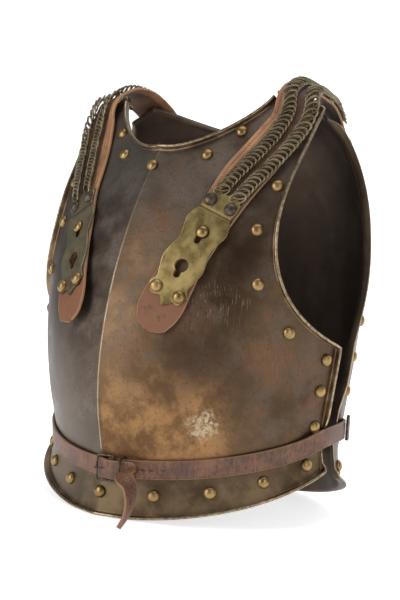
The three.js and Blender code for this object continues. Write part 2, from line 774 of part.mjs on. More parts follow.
// The plain plate that holds the strap's rear end, with its two rivet heads fused on.
function addRearPlate(name, sign, route) {
  const { half, length, thickness, fromEnd } = REAR_PLATE;
  const distance = route.length - length / 2 - fromEnd;
  const low = LEATHER.thickness + 2 * GAP;
  const rows = [-0.5, -0.25, 0, 0.25, 0.5].map((share) => ({
    distance: distance + length * share,
    from: -half,
    to: half,
  }));
  const plate = solidOf(band(route, rows, low, thickness));
  const frame = route.frameAt(distance);
  const joined = [-1, 1].reduce((sum, hand) => {
    const head = new THREE.Object3D();
    const point = offset(frame, hand * REAR_PLATE.rivetAside, low + thickness - RIVET.sunk);
    stand(head, { point, normal: frame.out }, 0).updateMatrix();
    const dome = domeGeometry(RIVET.radius, RIVET.height + RIVET.sunk, RIVET.plainSides);
    return sum.add(solidOf(dome.applyMatrix4(head.matrix)));
  }, plate);
  add(`rear_strap_plate_${name}`, geometryOfSolid(joined), COLOURS.strapBrass, 0.5, 0.8);
}

// ---------- waist belt ----------

const beltLift = BREAST.thickness / 2 + BELT.lift;

// The belt lies on the chord between the plate above the waist and the flange below it.
function beltSeat(angle, lift) {
  const bandEdges = (theta) => {
    const waist = waistZ(BREAST, theta);
    const reach = BELT.width / 2;
    const share = reach / (waist - rimZ(BREAST, theta));
    return [flangeAt(BREAST, theta, share), plateAt(BREAST, theta, waist + reach)];
  };
  const middle = (theta) => {
    const [low, high] = bandEdges(theta);
    return low.add(high).multiplyScalar(0.5);
  };
  const [low, high] = bandEdges(angle);
  const around = middle(angle + 0.5).sub(middle(angle - 0.5));
  const normal = around.cross(high.sub(low)).normalize();
  return { point: middle(angle).addScaledVector(normal, lift), normal };
}

// From the tab on the back plate, over the open side, to the side of the breast.
function anchorSeats(sign) {
  return BELT_ON_SIDE.map(({ plate, angle, z, lift }) => {
    const { point, normal } = seatOn(plate, sign * plate.facing * angle, z);
    const outward = vector(normal.x, normal.y, 0).normalize();
    point.addScaledVector(outward, plate.thickness / 2 + lift);
    return { point, normal: outward };
  });
}

function beltBand(seats, step, taper) {
  const route = routeThrough(seats);
  const stops = Math.ceil(route.length / step);
  const half = BELT.width / 2;
  const rows = [];
  for (let k = 0; k <= stops; k++) {
    const share = k / stops;
    const near = taper ? Math.max(0, (share - taper.from) / (1 - taper.from)) : 0;
    const reach = lerp(half, taper ? taper.tipHalf : half, near ** 2);
    rows.push({ distance: share * route.length, from: -reach, to: reach });
  }
  return band(route, rows, 0, BELT.thickness, 1);
}

function addBelt() {
  const angles = (from, to, step) => {
    const count = Math.round(Math.abs(to - from) / step);
    return Array.from({ length: count + 1 }, (_, k) => lerp(from, to, k / count));
  };
  const leftSeats = [
    ...anchorSeats(1),
    ...angles(70, LEFT_BELT_END, BELT_SEAT_STEP).map((angle) => beltSeat(angle, beltLift)),
  ];
  add("belt_left", beltBand(leftSeats, BELT.step), COLOURS.belt, 0.7, 0);

  const stacked = beltLift + BELT.stackLift;
  const rightSeats = [
    ...anchorSeats(-1),
    ...angles(-70, -8, BELT_SEAT_STEP).map((angle) => beltSeat(angle, beltLift)),
    beltSeat(RIGHT_BELT.climbsFrom, beltLift),
    ...RIGHT_BELT.restsFrom.map((angle) => beltSeat(angle, stacked)),
    ...FREE_END.map(({ x, y, z, facing }) => ({
      point: vector(x, y, z),
      normal: vector(...facing).normalize(),
    })),
  ];
  add("belt_right", beltBand(rightSeats, BELT.fineStep, FREE_END_TAPER), COLOURS.belt, 0.7, 0);
  addBuckle(stacked);
  SIDES.forEach(addBeltTab);
}

// Turns and places a piece drawn with x along the belt, y up and z outward.
function placeOnBelt(geometry, angle, lift) {
  const { point, normal } = beltSeat(angle, lift);
  const up = vector(0, 0, 1);
  const along = up.clone().cross(normal);
  geometry.applyMatrix4(new THREE.Matrix4().makeBasis(along, up, normal));
  return geometry.translate(...point.toArray());
}

function extrude(shape, depth) {
  return new THREE.ExtrudeGeometry(shape, { depth, bevelEnabled: false, curveSegments: 4 });
}

function rectangle(width, height) {
  const [x, y] = [width / 2, height / 2];
  return [
    new THREE.Vector2(-x, -y),
    new THREE.Vector2(x, -y),
    new THREE.Vector2(x, y),
    new THREE.Vector2(-x, y),
  ];
}

function addBuckle(stacked) {
  const frame = new THREE.Shape(rectangle(BUCKLE.length, BUCKLE.height));
  const inside = 2 * BUCKLE.rod;
  frame.holes.push(
    new THREE.Path(rectangle(BUCKLE.length - inside, BUCKLE.height - inside).reverse()),
  );
  const frameLow = beltLift + BELT.thickness + BUCKLE.lift;
  const ring = placeOnBelt(extrude(frame, BUCKLE.thickness), BUCKLE.angle, frameLow);
  add("buckle_frame", ring, COLOURS.iron, 0.45, 0.8);

  const prong = new THREE.BoxGeometry(PRONG.length, PRONG.width, PRONG.thickness);
  prong.translate((PRONG.length - BUCKLE.length) / 2, 0, PRONG.thickness / 2);
  const prongLow = frameLow + BUCKLE.thickness + PRONG.lift;
  add("buckle_prong", placeOnBelt(prong, BUCKLE.angle, prongLow), COLOURS.iron, 0.45, 0.8);

  const reach = stacked + BELT.thickness + KEEPER.rod - BREAST.thickness / 2;
  const half = KEEPER.height / 2;
  const staple = new THREE.Shape([
    new THREE.Vector2(-half, 0),
    new THREE.Vector2(-half + KEEPER.rod, 0),
    new THREE.Vector2(-half + KEEPER.rod, reach - KEEPER.rod),
    new THREE.Vector2(half - KEEPER.rod, reach - KEEPER.rod),
    new THREE.Vector2(half - KEEPER.rod, 0),
    new THREE.Vector2(half, 0),
    new THREE.Vector2(half, reach),
    new THREE.Vector2(-half, reach),
  ]);
  const keeper = extrude(staple, KEEPER.width).translate(0, 0, -KEEPER.width / 2);
  keeper.rotateY(Math.PI / 2).rotateX(Math.PI / 2);
  const keeperLow = BREAST.thickness / 2 + KEEPER.lift;
  add("belt_keeper", placeOnBelt(keeper, KEEPER.angle, keeperLow), COLOURS.iron, 0.45, 0.8);
}

function addBeltTab({ name, sign }) {
  const { point, normal } = seatOn(BACK, -sign * BELT_TAB.angle, BELT_TAB.z);
  const outward = vector(normal.x, normal.y, 0).normalize();
  const lift = BACK.thickness / 2 + BELT_TAB.lift;
  const tab = new THREE.BoxGeometry(BELT_TAB.width, BELT_TAB.height, BELT_TAB.thickness);
  const up = vector(0, 0, 1);
  const along = up.clone().cross(outward);
  tab.translate(0, 0, BELT_TAB.thickness / 2);
  tab.applyMatrix4(new THREE.Matrix4().makeBasis(along, up, outward));
  tab.translate(...point.addScaledVector(outward, lift).toArray());
  add(`belt_tab_${name}`, tab, COLOURS.iron, 0.6, 0.7);
}

// ---------- the whole ----------

addBreast();
addBack();
SIDES.forEach(addShoulderStrap);
addBelt();

// The part's origin is the middle of its box at floor level.
const box = new THREE.Box3().setFromObject(cuirass, true);
cuirass.position.set(-(box.min.x + box.max.x) / 2, -(box.min.y + box.max.y) / 2, -box.min.z);

export default cuirass;
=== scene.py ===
"""Cuirass of heavy cavalry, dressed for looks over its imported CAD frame.

Metres, +Z up, the breast faces -Y and the wearer's left is +X. The tables below are
in millimetres, as they are in the part's source, and shapes are worked out in
millimetres and written to the meshes in metres.
"""

import math

import bpy
import numpy as np
from mathutils import Matrix, Vector


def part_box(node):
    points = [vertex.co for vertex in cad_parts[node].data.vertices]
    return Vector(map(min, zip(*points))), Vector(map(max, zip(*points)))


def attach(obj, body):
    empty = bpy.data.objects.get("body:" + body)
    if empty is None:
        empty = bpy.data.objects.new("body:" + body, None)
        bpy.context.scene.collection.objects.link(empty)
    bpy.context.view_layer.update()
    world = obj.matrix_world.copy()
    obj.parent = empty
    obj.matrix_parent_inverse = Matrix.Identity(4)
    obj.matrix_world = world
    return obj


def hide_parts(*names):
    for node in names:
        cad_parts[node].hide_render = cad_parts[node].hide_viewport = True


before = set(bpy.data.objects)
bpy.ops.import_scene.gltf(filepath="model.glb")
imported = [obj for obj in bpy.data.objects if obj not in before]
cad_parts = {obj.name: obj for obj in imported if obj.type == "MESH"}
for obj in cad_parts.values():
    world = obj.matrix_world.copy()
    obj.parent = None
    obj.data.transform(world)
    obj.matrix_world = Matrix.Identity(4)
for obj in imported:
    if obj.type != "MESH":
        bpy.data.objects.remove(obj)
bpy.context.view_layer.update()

MM = 0.001
SEED = 7

# ---------- the plates' driving dimensions ----------

# Each level: z, half width, depth from the side line, keel's share of it, side line.
BREAST = {
    "facing": 1,
    "thickness": 3.0,
    "levels": [
        (30, 158, 136, 34, 5),
        (70, 161, 147.5, 33, 5),
        (120, 167.5, 157.5, 25, 5),
        (180, 175, 156.5, 17, 5),
        (250, 182.5, 142, 15, 5),
        (320, 187, 114, 18, 5),
        (380, 188.5, 79, 34, 5),
        (432, 189, 45, 40, 5),
    ],
    "side_angle": 87.2,
    "neck": [(0, 368.5), (15, 360.5), (35, 426), (31.5, 430.5)],
    "arm": [(51.5, 417.5), (44.5, 308), (43, 211.5), (87.2, 180.5)],
    "waist": (49, 40),
    "rim": (57, 5),
    "plain_side_rows": 0,
}
BACK = {
    "facing": -1,
    "thickness": 2.4,
    "levels": [
        (30, 159, 108, 0, -12),
        (70, 162, 110, 0, -12),
        (120, 168, 112, 0, -12),
        (180, 175.5, 113, 0, -12),
        (250, 180, 112, 0, -12),
        (310, 175, 109, 0, -12),
        (345, 168, 104, 0, -11),
        (375, 157, 100, 0, -9),
        (400, 143, 97, 0, -5),
        (416, 128, 90, 0, -2),
        (431, 114, 68, 0, 0),
    ],
    "side_angle": 86.5,
    "neck": [(0, 400), (12, 400.5), (42, 421), (69, 428.5)],
    "arm": [(80, 414), (55, 386), (83, 230), (87, 186)],
    "waist": (49, 34),
    "rim": (49, 5),
    "plain_side_rows": 1,
}
LIP = {"stand": 7.6, "low": 3.3, "radius": 3.0}
RIM_FLAT_ANGLE = 11
GRID = {"neck": 7, "shoulder": 2, "side": 3, "arm": 10, "flange": 3}
REFINE = 10  # fine cells to each cell of the CAD's grid

# ---------- straps, chains and belt ----------

STRAP_ON_BREAST = [  # angle, z, lift off the plate
    (15.8, 188, 1.2),
    (18.9, 213, 0.6),
    (22.7, 252, 0.6),
    (26.2, 285, 0.6),
    (29, 312, 0.6),
    (32.2, 341, 0.6),
    (35.4, 363, 0.6),
    (38.4, 385, 1),
    (40.6, 405, 3),
]
STRAP_OVER_CREST = [  # place, and the way that the outer face looks
    ((122, -33, 430.5), (0.3, -0.66, 0.69)),
    ((118.5, -14, 440.5), (0.42, -0.28, 0.87)),
    ((116.5, 9, 441.5), (0.5, 0, 0.87)),
    ((117, 28, 437), (0.52, 0.3, 0.8)),
]
STRAP_ON_BACK = [(59, 414, 6.5), (54, 400, 2.5), (50, 385, 0.8), (47, 368, 0.8)]
RIGHT_STRAP_SWING = 3.4
RIGHT_STRAP_TAIL = {"below": 285, "length": 97, "stand_off": 9}
LEATHER = {"thickness": 3.0, "columns": 56, "step": 0.9}
LEATHER_ROWS = [  # share of the route, reach towards the neck, reach towards the arm
    (0, 4, 4),
    (0.008, 12, 12),
    (0.03, 20, 19),
    (0.065, 23.5, 22.5),
    (0.11, 22, 21.5),
    (0.2, 19.5, 19.5),
    (0.33, 20, 21),
    (0.42, 23.5, 23),
    (0.53, 23, 21.5),
    (0.65, 18, 20),
    (0.78, 17.5, 20),
    (0.9, 21, 21),
    (1, 21, 21),
]
BRASS = {
    "thickness": 2.0,
    "upper_keyhole": 108.0,
    "top": 44.0,
    "bottom": -74.0,
    "point": 7.0,
    "groove": 22.5,
}
FITTING_GAP = 0.6  # between a fitting and what it sits on
IRON_HEAD = {"radius": 6.6, "height": 4.4, "at": 32.3, "aside": 11.8}
BRASS_HEAD = {"radius": 6.4, "height": 4.6, "at": -66, "aside": 13}
REAR_HEADS_ASIDE = 12
BRASS_ROWS = [  # place from the upper keyhole, half width
    (-81, 19),
    (-71, 20.5),
    (-64, 21.5),
    (-57, 18),
    (-49, 19.5),
    (-36, 22.8),
    (-25, 21),
    (-13, 18.4),
    (-3, 20.8),
    (8, 23.4),
    (16, 21),
    (22, 18.2),
    (34, 18.8),
    (44, 18),
]
KEYHOLES = (0.0, -38.0)
KEYHOLE = {"radius": 7.0, "slot_half": 3.4, "slot_end": 13.0}
CHAIN = {"thickness": 4.6, "clearance": 2.0, "starts_at": 153.5, "end_share": 0.86}
CHAIN_ROWS = {"inner": (-7, -4, -2, -3, -4, -5, -6), "outer": (12, 17, 19, 20, 18, 15, 11)}
LINK = {"across": 8.2, "along": 4.8, "wire": 1.15, "pitch": 5.2, "tilt": 26, "slant": 42}
REAR_PLATE = {"length": 34.0, "half": 21.0, "thickness": 2.4}

BELT = {"width": 19.0, "thickness": 3.0, "lift": 0.7, "stack_lift": 8.1}
BUCKLE = {"angle": 2.2, "length": 21.0, "height": 27.0, "rod": 2.5, "thickness": 2.2, "lift": 1.4}
PRONG = {"length": 9.5, "width": 2.2, "thickness": 1.6, "lift": 0.9}
KEEPER = {"angle": 8.6, "width": 2.4, "height": 24.4, "rod": 2.0, "lift": 1.8}
LEFT_BELT_END = 3
BELT_ON_SIDE = [  # plate, angle, z, lift
    (BACK, 75, 96, 0.8),
    (BACK, 82, 95, 3.6),
    (BREAST, 84.5, 89, 6.2),
    (BREAST, 77, 81, 3),
]
FREE_END = [
    ((47, -171, 47.5), (0.28, -0.82, 0.5)),
    ((58.5, -177.5, 38), (0.82, -0.28, 0.5)),
    ((63.5, -183, 26), (0.95, 0.12, 0.28)),
    ((64, -189, 14), (0.92, 0.36, 0.12)),
    ((61, -194, 4.5), (0.88, 0.44, 0.16)),
]
FREE_END_TAPER = {"from": 0.82, "tip_half": 3.5}

SIDES = (("left", 1), ("right", -1))


# ---------- the plates' formulas ----------


def unit(v):
    """Vectors scaled to length 1."""
    return v / np.maximum(np.linalg.norm(v, axis=-1, keepdims=True), 1e-9)


def smooth(x):
    """The usual smooth step, from 0 at x = 0 to 1 at x = 1."""
    t = np.clip(x, 0, 1)
    return t * t * (3 - 2 * t)


def levels_at(plate, z):
    """Half width, depth, keel and side line at z: a cubic through the rows of levels,
    whose slope at a row is that of the line between its neighbours."""
    table = np.array(plate["levels"], float)
    zs, values = table[:, 0], table[:, 1:]
    last = len(zs) - 1
    before = np.maximum(np.arange(last + 1) - 1, 0)
    after = np.minimum(np.arange(last + 1) + 1, last)
    slope = (values[after] - values[before]) / (zs[after] - zs[before])[:, None]
    i = np.clip(np.searchsorted(zs, z, side="right") - 1, 0, last - 1)
    span = (zs[i + 1] - zs[i])[..., None]
    t = (z[..., None] - zs[i][..., None]) / span
    s = 1 - t
    result = s * s * (1 + 2 * t) * values[i] + t * t * (3 - 2 * t) * values[i + 1]
    result = result + s * s * t * span * slope[i] - s * t * t * span * slope[i + 1]
    return np.moveaxis(result, -1, 0)


def plate_at(plate, angle, z):
    """Middle of the sheet: x is the half width times the sine of the angle; the depth
    is an ellipse's, plus a keel that falls off evenly with the sine."""
    angle, z = np.broadcast_arrays(np.asarray(angle, float), np.asarray(z, float))
    half_width, depth, keel, side_line = levels_at(plate, z)
    turn = np.radians(angle)
    out = (depth - keel) * np.cos(turn) + keel * (1 - np.abs(np.sin(turn)))
    x = plate["facing"] * half_width * np.sin(turn)
    return np.stack([x, -plate["facing"] * out - side_line, z], axis=-1)


def seat_on(plate, angle, z):
    """The sheet's point and outward normal at an angle and z."""
    angle, z = np.asarray(angle, float), np.asarray(z, float)
    across = plate_at(plate, angle + 0.5, z) - plate_at(plate, angle - 0.5, z)
    up = plate_at(plate, angle, z + 1) - plate_at(plate, angle, z - 1)
    return plate_at(plate, angle, z), unit(np.cross(across, up))


def waist_z(plate, angle):
    """Height of the waist: its centre height, plus a rise with one minus the cosine."""
    return plate["waist"][0] + plate["waist"][1] * (1 - np.cos(np.radians(angle)))


def rim_z(plate, angle):
    """Height of the rim: level near the middle, then a rise as the waist's."""
    level = 1 - math.cos(math.radians(RIM_FLAT_ANGLE))
    return plate["rim"][0] * np.maximum(0, 1 - np.cos(np.radians(angle)) - level)


def flange_at(plate, angle, share):
    """A point of the flange: straight down from the waist by the share of its drop,
    and outward by its flare times the share to the power 1.4."""
    angle, share = np.broadcast_arrays(np.asarray(angle, float), np.asarray(share, float))
    waist = waist_z(plate, angle)
    point, normal = seat_on(plate, angle, waist)
    outward = unit(normal * (1, 1, 0))
    drop = waist - rim_z(plate, angle) - (LIP["radius"] + plate["thickness"] / 2)
    flare = plate["rim"][1] * share**1.4
    fall = np.stack([0 * drop, 0 * drop, drop * share], axis=-1)
    return point + outward * flare[..., None] - fall


def bezier(points, t):
    """A cubic Bezier curve of four control points, at each t."""
    a, b, c, d = (np.array(p, float) for p in points)
    t = np.asarray(t, float)[..., None]
    s = 1 - t
    return s**3 * a + 3 * s * s * t * b + 3 * s * t * t * c + t**3 * d


def between(a, b, t):
    """Straight from a to b at each t."""
    t = np.asarray(t, float)[..., None]
    return np.asarray(a, float) * (1 - t) + np.asarray(b, float) * t


def sheet_grid(plate):
    """Angle, z and place of the sheet on a fine grid. Rows run from the rim up over the
    waist to the neck. Above the waist they blend the outline's four sides over the
    patch (a Coons patch in angle and z); below it they follow the flange."""
    half = GRID["neck"] + GRID["shoulder"]
    rows = GRID["side"] + GRID["arm"]
    side_angle, neck, arm = plate["side_angle"], plate["neck"], plate["arm"]
    u = np.linspace(-1, 1, 2 * half * REFINE + 1)
    v = np.linspace(0, 1, rows * REFINE + 1)
    size = np.abs(u)

    def waist(share):
        return np.stack([side_angle * share, waist_z(plate, side_angle * share)], axis=-1)

    split = GRID["neck"] / half
    top = np.where(
        (size <= split)[:, None],
        bezier(neck, np.minimum(size / split, 1)),
        between(neck[3], arm[0], np.maximum(size - split, 0) / (1 - split)),
    )
    low = GRID["side"] / rows
    side = np.where(
        (v <= low)[:, None],
        between(waist(np.array(1.0)), arm[3], np.minimum(v / low, 1)),
        bezier(arm, 1 - np.maximum(v - low, 0) / (1 - low)),
    )
    middle = between(waist(np.array(0.0)), neck[0], v)
    uu, vv = size[None, :, None], v[:, None, None]
    bottom_ends = between(waist(np.array(0.0)), waist(np.array(1.0)), size)
    top_ends = between(neck[0], arm[0], size)
    spots = waist(size)[None] * (1 - vv) + top[None] * vv
    spots = spots + middle[:, None] * (1 - uu) + side[:, None] * uu
    spots = spots - bottom_ends[None] * (1 - vv) - top_ends[None] * vv
    angle = np.sign(u)[None, :] * spots[..., 0]
    upper = plate_at(plate, angle, spots[..., 1])
    shares = np.linspace(1, 0, GRID["flange"] * REFINE + 1)[:-1, None]
    lower = flange_at(plate, side_angle * u[None, :], shares)
    return np.concatenate([lower, upper])


def lip_stands(plate, rows, columns):
    """How far the lip stands at each vertex of the edge ring: full, but low under the
    straps and, at the sides, under the belt."""
    half = GRID["neck"] + GRID["shoulder"]
    u = np.abs(np.linspace(-half, half, columns))
    side_rows = np.linspace(0, (rows - 1) / REFINE, rows)
    full, low = LIP["stand"], LIP["low"]
    bottom = np.interp(u, [half - 1, half], [full, full])
    top = np.interp(u, [GRID["neck"], GRID["neck"] + 0.6], [full, low])
    belt_end = GRID["flange"] + plate["plain_side_rows"]
    knots = [0, 0.6, belt_end, belt_end + 0.8, side_rows[-1] - 0.7, side_rows[-1]]
    side = np.interp(side_rows, knots, [full, low, low, full, full, low])
    return bottom, side, top


def solid_sheet(points, stands, thickness, turn_steps=6, cap_steps=6):
    """A closed sheet with a lip round its whole edge.

    The grid's points are offset by half the thickness both ways along their normals.
    The lip carries on from the edge by a quarter turn of the given radius, then
    straight out to its stand, and ends in a half round. Returns vertices, quads and
    two numbers for each vertex: lip is 0 on the sheet, 1 on the lip and 2 on its cut
    edge, and inside is 1 on the inner side."""
    rows, columns = points.shape[:2]
    padded = np.pad(points, ((1, 1), (1, 1), (0, 0)), mode="edge")
    across = padded[1:-1, 2:] - padded[1:-1, :-2]
    up = padded[2:, 1:-1] - padded[:-2, 1:-1]
    normals = unit(np.cross(across, up))
    last_row, last_column = rows - 1, columns - 1
    js = np.concatenate([
        np.zeros(columns, int),
        np.arange(1, rows),
        np.full(columns - 1, last_row),
        np.arange(last_row - 1, 0, -1),
    ])
    ks = np.concatenate([
        np.arange(columns),
        np.full(rows - 1, last_column),
        np.arange(last_column - 1, -1, -1),
        np.zeros(rows - 2, int),
    ])
    bottom, side, top = stands
    stand = np.concatenate([bottom, side[1:], top[::-1][1:], side[::-1][1:-1]])
    ring = points[js, ks]
    facing = normals[js, ks]
    tangent = np.roll(ring, -2, axis=0) - np.roll(ring, 2, axis=0)
    away = unit(np.cross(tangent, facing))
    radius, half = LIP["radius"], thickness / 2

    layers, faces_of, kinds = [], [], []
    for step in range(1, turn_steps + 1):
        turn = step / turn_steps * math.pi / 2
        middle = ring + away * radius * math.sin(turn)
        middle = middle + facing * radius * (1 - math.cos(turn))
        layers.append(middle)
        faces_of.append(facing * math.cos(turn) - away * math.sin(turn))
        kinds.append(step / turn_steps)
    straight = ring + away * radius + facing * (stand[:, None] - half)
    layers.append(straight)
    faces_of.append(-away)
    kinds.append(1.0)

    grid_count, ring_count = rows * columns, len(js)
    outer = [(points + normals * half).reshape(-1, 3)]
    inner = [(points - normals * half).reshape(-1, 3)]
    kind_outer = [np.zeros(grid_count)]
    for middle, face, kind in zip(layers, faces_of, kinds):
        outer.append(middle + face * half)
        inner.append(middle - face * half)
        kind_outer.append(np.full(ring_count, kind))
    count = grid_count + len(layers) * ring_count
    cap = []
    for step in range(1, cap_steps):
        turn = step / cap_steps * math.pi
        cap.append(straight - away * half * math.cos(turn) + facing * half * math.sin(turn))
    vertices = np.concatenate(outer + inner + cap)
    cut = len(cap) * ring_count
    lip = np.concatenate(kind_outer * 2 + [np.full(cut, 2.0)])
    inside = np.repeat([0.0, 1.0, 0.0], [count, count, cut])

    index = np.arange(grid_count).reshape(rows, columns)
    quads = [np.stack([index[:-1, :-1], index[:-1, 1:], index[1:, 1:], index[1:, :-1]], -1)]
    rings = [index[js, ks]]
    for k in range(len(layers)):
        rings.append(grid_count + k * ring_count + np.arange(ring_count))
    for a, b in zip(rings[:-1], rings[1:]):
        quads.append(np.stack([a, b, np.roll(b, -1), np.roll(a, -1)], -1))
    skin = np.concatenate([q.reshape(-1, 4) for q in quads])
    caps = [rings[-1]]
    caps += [2 * count + k * ring_count + np.arange(ring_count) for k in range(len(cap))]
    caps.append(rings[-1] + count)
    closing = [
        np.stack([a, b, np.roll(b, -1), np.roll(a, -1)], -1) for a, b in zip(caps[:-1], caps[1:])
    ]
    quads = np.concatenate([skin, skin[:, ::-1] + count] + closing)
    return vertices, quads, {"lip": lip, "inside": inside}


# ---------- writing meshes ----------


def add_mesh(name, vertices, faces, material, smooth_angle=50, attributes=None):
    """An object at the origin from vertices in millimetres and faces, which may be of
    four corners, or of three where the last index is -1."""
    mesh = bpy.data.meshes.new(name)
    faces = np.asarray(faces)
    polygons = [row[row >= 0].tolist() for row in faces] if (faces < 0).any() else faces.tolist()
    mesh.from_pydata((np.asarray(vertices) * MM + SHIFT).tolist(), [], polygons)
    for label, values in (attributes or {}).items():
        layer = mesh.attributes.new(label, "FLOAT", "POINT")
        layer.data.foreach_set("value", np.asarray(values, np.float32))
    mesh.polygons.foreach_set("use_smooth", np.ones(len(mesh.polygons), bool))
    mesh.update()
    if smooth_angle:
        mesh.set_sharp_from_angle(angle=math.radians(smooth_angle))
    piece = bpy.data.objects.new(name, mesh)
    bpy.context.scene.collection.objects.link(piece)
    mesh.materials.append(material)
    return piece


def dress(piece, slot, *nodes):
    """Rides on the one body and stands for CAD nodes, which it hides; the slot, a record's finish,
    is not used.
    """
    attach(piece, "root")
    if nodes:
        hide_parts(*nodes)
    return piece


def tube_faces(stations, sides, closed=False):
    """Quads between neighbouring rings of a tube, and fans over its two open ends."""
    start = np.arange(stations if closed else stations - 1)[:, None] * sides
    i = np.arange(sides)[None]
    j = (i + 1) % sides
    next_start = (start + sides) % (stations * sides)
    quads = np.stack([start + i, start + j, next_start + j, next_start + i], -1).reshape(-1, 4)
    if closed:
        return quads
    k = np.arange(1, sides - 1)
    top = (stations - 1) * sides
    low = np.stack([0 * k, k + 1, k, 0 * k - 1], -1)
    high = np.stack([0 * k + top, k + top, k + 1 + top, 0 * k - 1], -1)
    return np.concatenate([quads, low, high])


# ---------- routes of the straps and the belt ----------


def catmull(points, samples):
    """A centripetal Catmull-Rom curve through points, at each whole-and-part place of
    samples. The ends are carried on in a straight line."""
    p = np.array(points, float)
    p = np.concatenate([[2 * p[0] - p[1]], p, [2 * p[-1] - p[-2]]])
    i = np.minimum(samples.astype(int), len(p) - 4)
    t = (samples - i)[:, None]
    a, b, c, d = p[i], p[i + 1], p[i + 2], p[i + 3]

    def step(m, n):
        return np.sqrt(np.linalg.norm(n - m, axis=1, keepdims=True))

    before, here, after = step(a, b), step(b, c), step(c, d)
    start = (b - a) / before - (c - a) / (before + here) + (c - b) / here
    end = (c - b) / here - (d - b) / (here + after) + (d - c) / after
    start, end = start * here, end * here
    cube = 2 * b - 2 * c + start + end
    square = -3 * b + 3 * c - 2 * start - end
    return b + start * t + square * t * t + cube * t**3


class Route:
    """A line with a facing: the way along, across and out at each distance along it."""

    def __init__(self, seats):
        places = np.array([point for point, _ in seats], float)
        facing = places + 10 * unit(np.array([normal for _, normal in seats], float))
        samples = np.linspace(0, len(places) - 1, 60 * (len(places) - 1) + 1)
        self.points = catmull(places, samples)
        self.facing = catmull(facing, samples)
        steps = np.linalg.norm(np.diff(self.points, axis=0), axis=1)
        self.distances = np.concatenate([[0], np.cumsum(steps)])
        self.length = self.distances[-1]

    def frames(self, distance):
        """Point, along, across and out at distances."""
        distance = np.atleast_1d(np.asarray(distance, float))

        def at(values, place):
            return np.stack([np.interp(place, self.distances, v) for v in values.T], axis=-1)

        point = at(self.points, distance)
        along = unit(at(self.points, distance + 0.5) - at(self.points, distance - 0.5))
        across = unit(np.cross(along, at(self.facing, distance) - point))
        return point, along, across, np.cross(across, along)

    def place(self, distance, aside, height):
        """Points aside of the line and above it; the three are arrays of one shape."""
        distance, aside, height = np.broadcast_arrays(distance, aside, height)
        point, _, across, out = self.frames(distance.ravel())
        spots = point + across * aside.reshape(-1, 1) + out * height.reshape(-1, 1)
        return spots.reshape(distance.shape + (3,))


def strap_route(sign):
    """The shoulder strap's line: up the breast, over the crest and down the back."""

    def on_plate(plate, hand, row):
        angle, z, lift = row
        swing = RIGHT_STRAP_SWING * np.clip((385 - z) / 100, 0, 1) if sign < 0 else 0
        if sign < 0 and plate is BREAST:
            share = np.clip((RIGHT_STRAP_TAIL["below"] - z) / RIGHT_STRAP_TAIL["length"], 0, 1)
            lift = lift + RIGHT_STRAP_TAIL["stand_off"] * share**1.3
        point, normal = seat_on(plate, hand * (angle - swing * (plate is BREAST)), z)
        return point + normal * (plate["thickness"] / 2 + lift), normal

    seats = [on_plate(BREAST, sign, row) for row in STRAP_ON_BREAST]
    for place, facing in STRAP_OVER_CREST:
        seats.append((np.array(place) * (sign, 1, 1), np.array(facing) * (sign, 1, 1)))
    seats += [on_plate(BACK, -sign, row) for row in STRAP_ON_BACK]
    return Route(seats)


def belt_seat(angle, lift):
    """A seat on the chord between the plate above the waist and the flange below it."""

    def middle(theta):
        waist = waist_z(BREAST, theta)
        reach = BELT["width"] / 2
        low = flange_at(BREAST, theta, reach / (waist - rim_z(BREAST, theta)))
        high = plate_at(BREAST, theta, waist + reach)
        return (low + high) / 2, high - low

    centre, rise = middle(angle)
    around = middle(angle + 0.5)[0] - middle(angle - 0.5)[0]
    normal = unit(np.cross(around, rise))
    return centre + normal * lift, normal


BELT_LIFT = BREAST["thickness"] / 2 + BELT["lift"]
STACKED = BELT_LIFT + BELT["stack_lift"]


def belt_routes():
    """The two straps of the belt, each from its tab round to the buckle."""

    def anchor(sign):
        seats = []
        for plate, angle, z, lift in BELT_ON_SIDE:
            point, normal = seat_on(plate, sign * plate["facing"] * angle, z)
            outward = unit(normal * (1, 1, 0))
            seats.append((point + outward * (plate["thickness"] / 2 + lift), outward))
        return seats

    def angles(start, end, step):
        return np.linspace(start, end, round(abs(end - start) / step) + 1)

    left = anchor(1) + [belt_seat(a, BELT_LIFT) for a in angles(70, LEFT_BELT_END, 8)]
    right = anchor(-1) + [belt_seat(a, BELT_LIFT) for a in angles(-70, -8, 8)]
    right.append(belt_seat(-0.8, BELT_LIFT))
    right += [belt_seat(a, STACKED) for a in (4.6, 7, 11.5)]
    right += [(np.array(place, float), np.array(facing)) for place, facing in FREE_END]
    return Route(left), Route(right)


# ---------- shapes along a route ----------


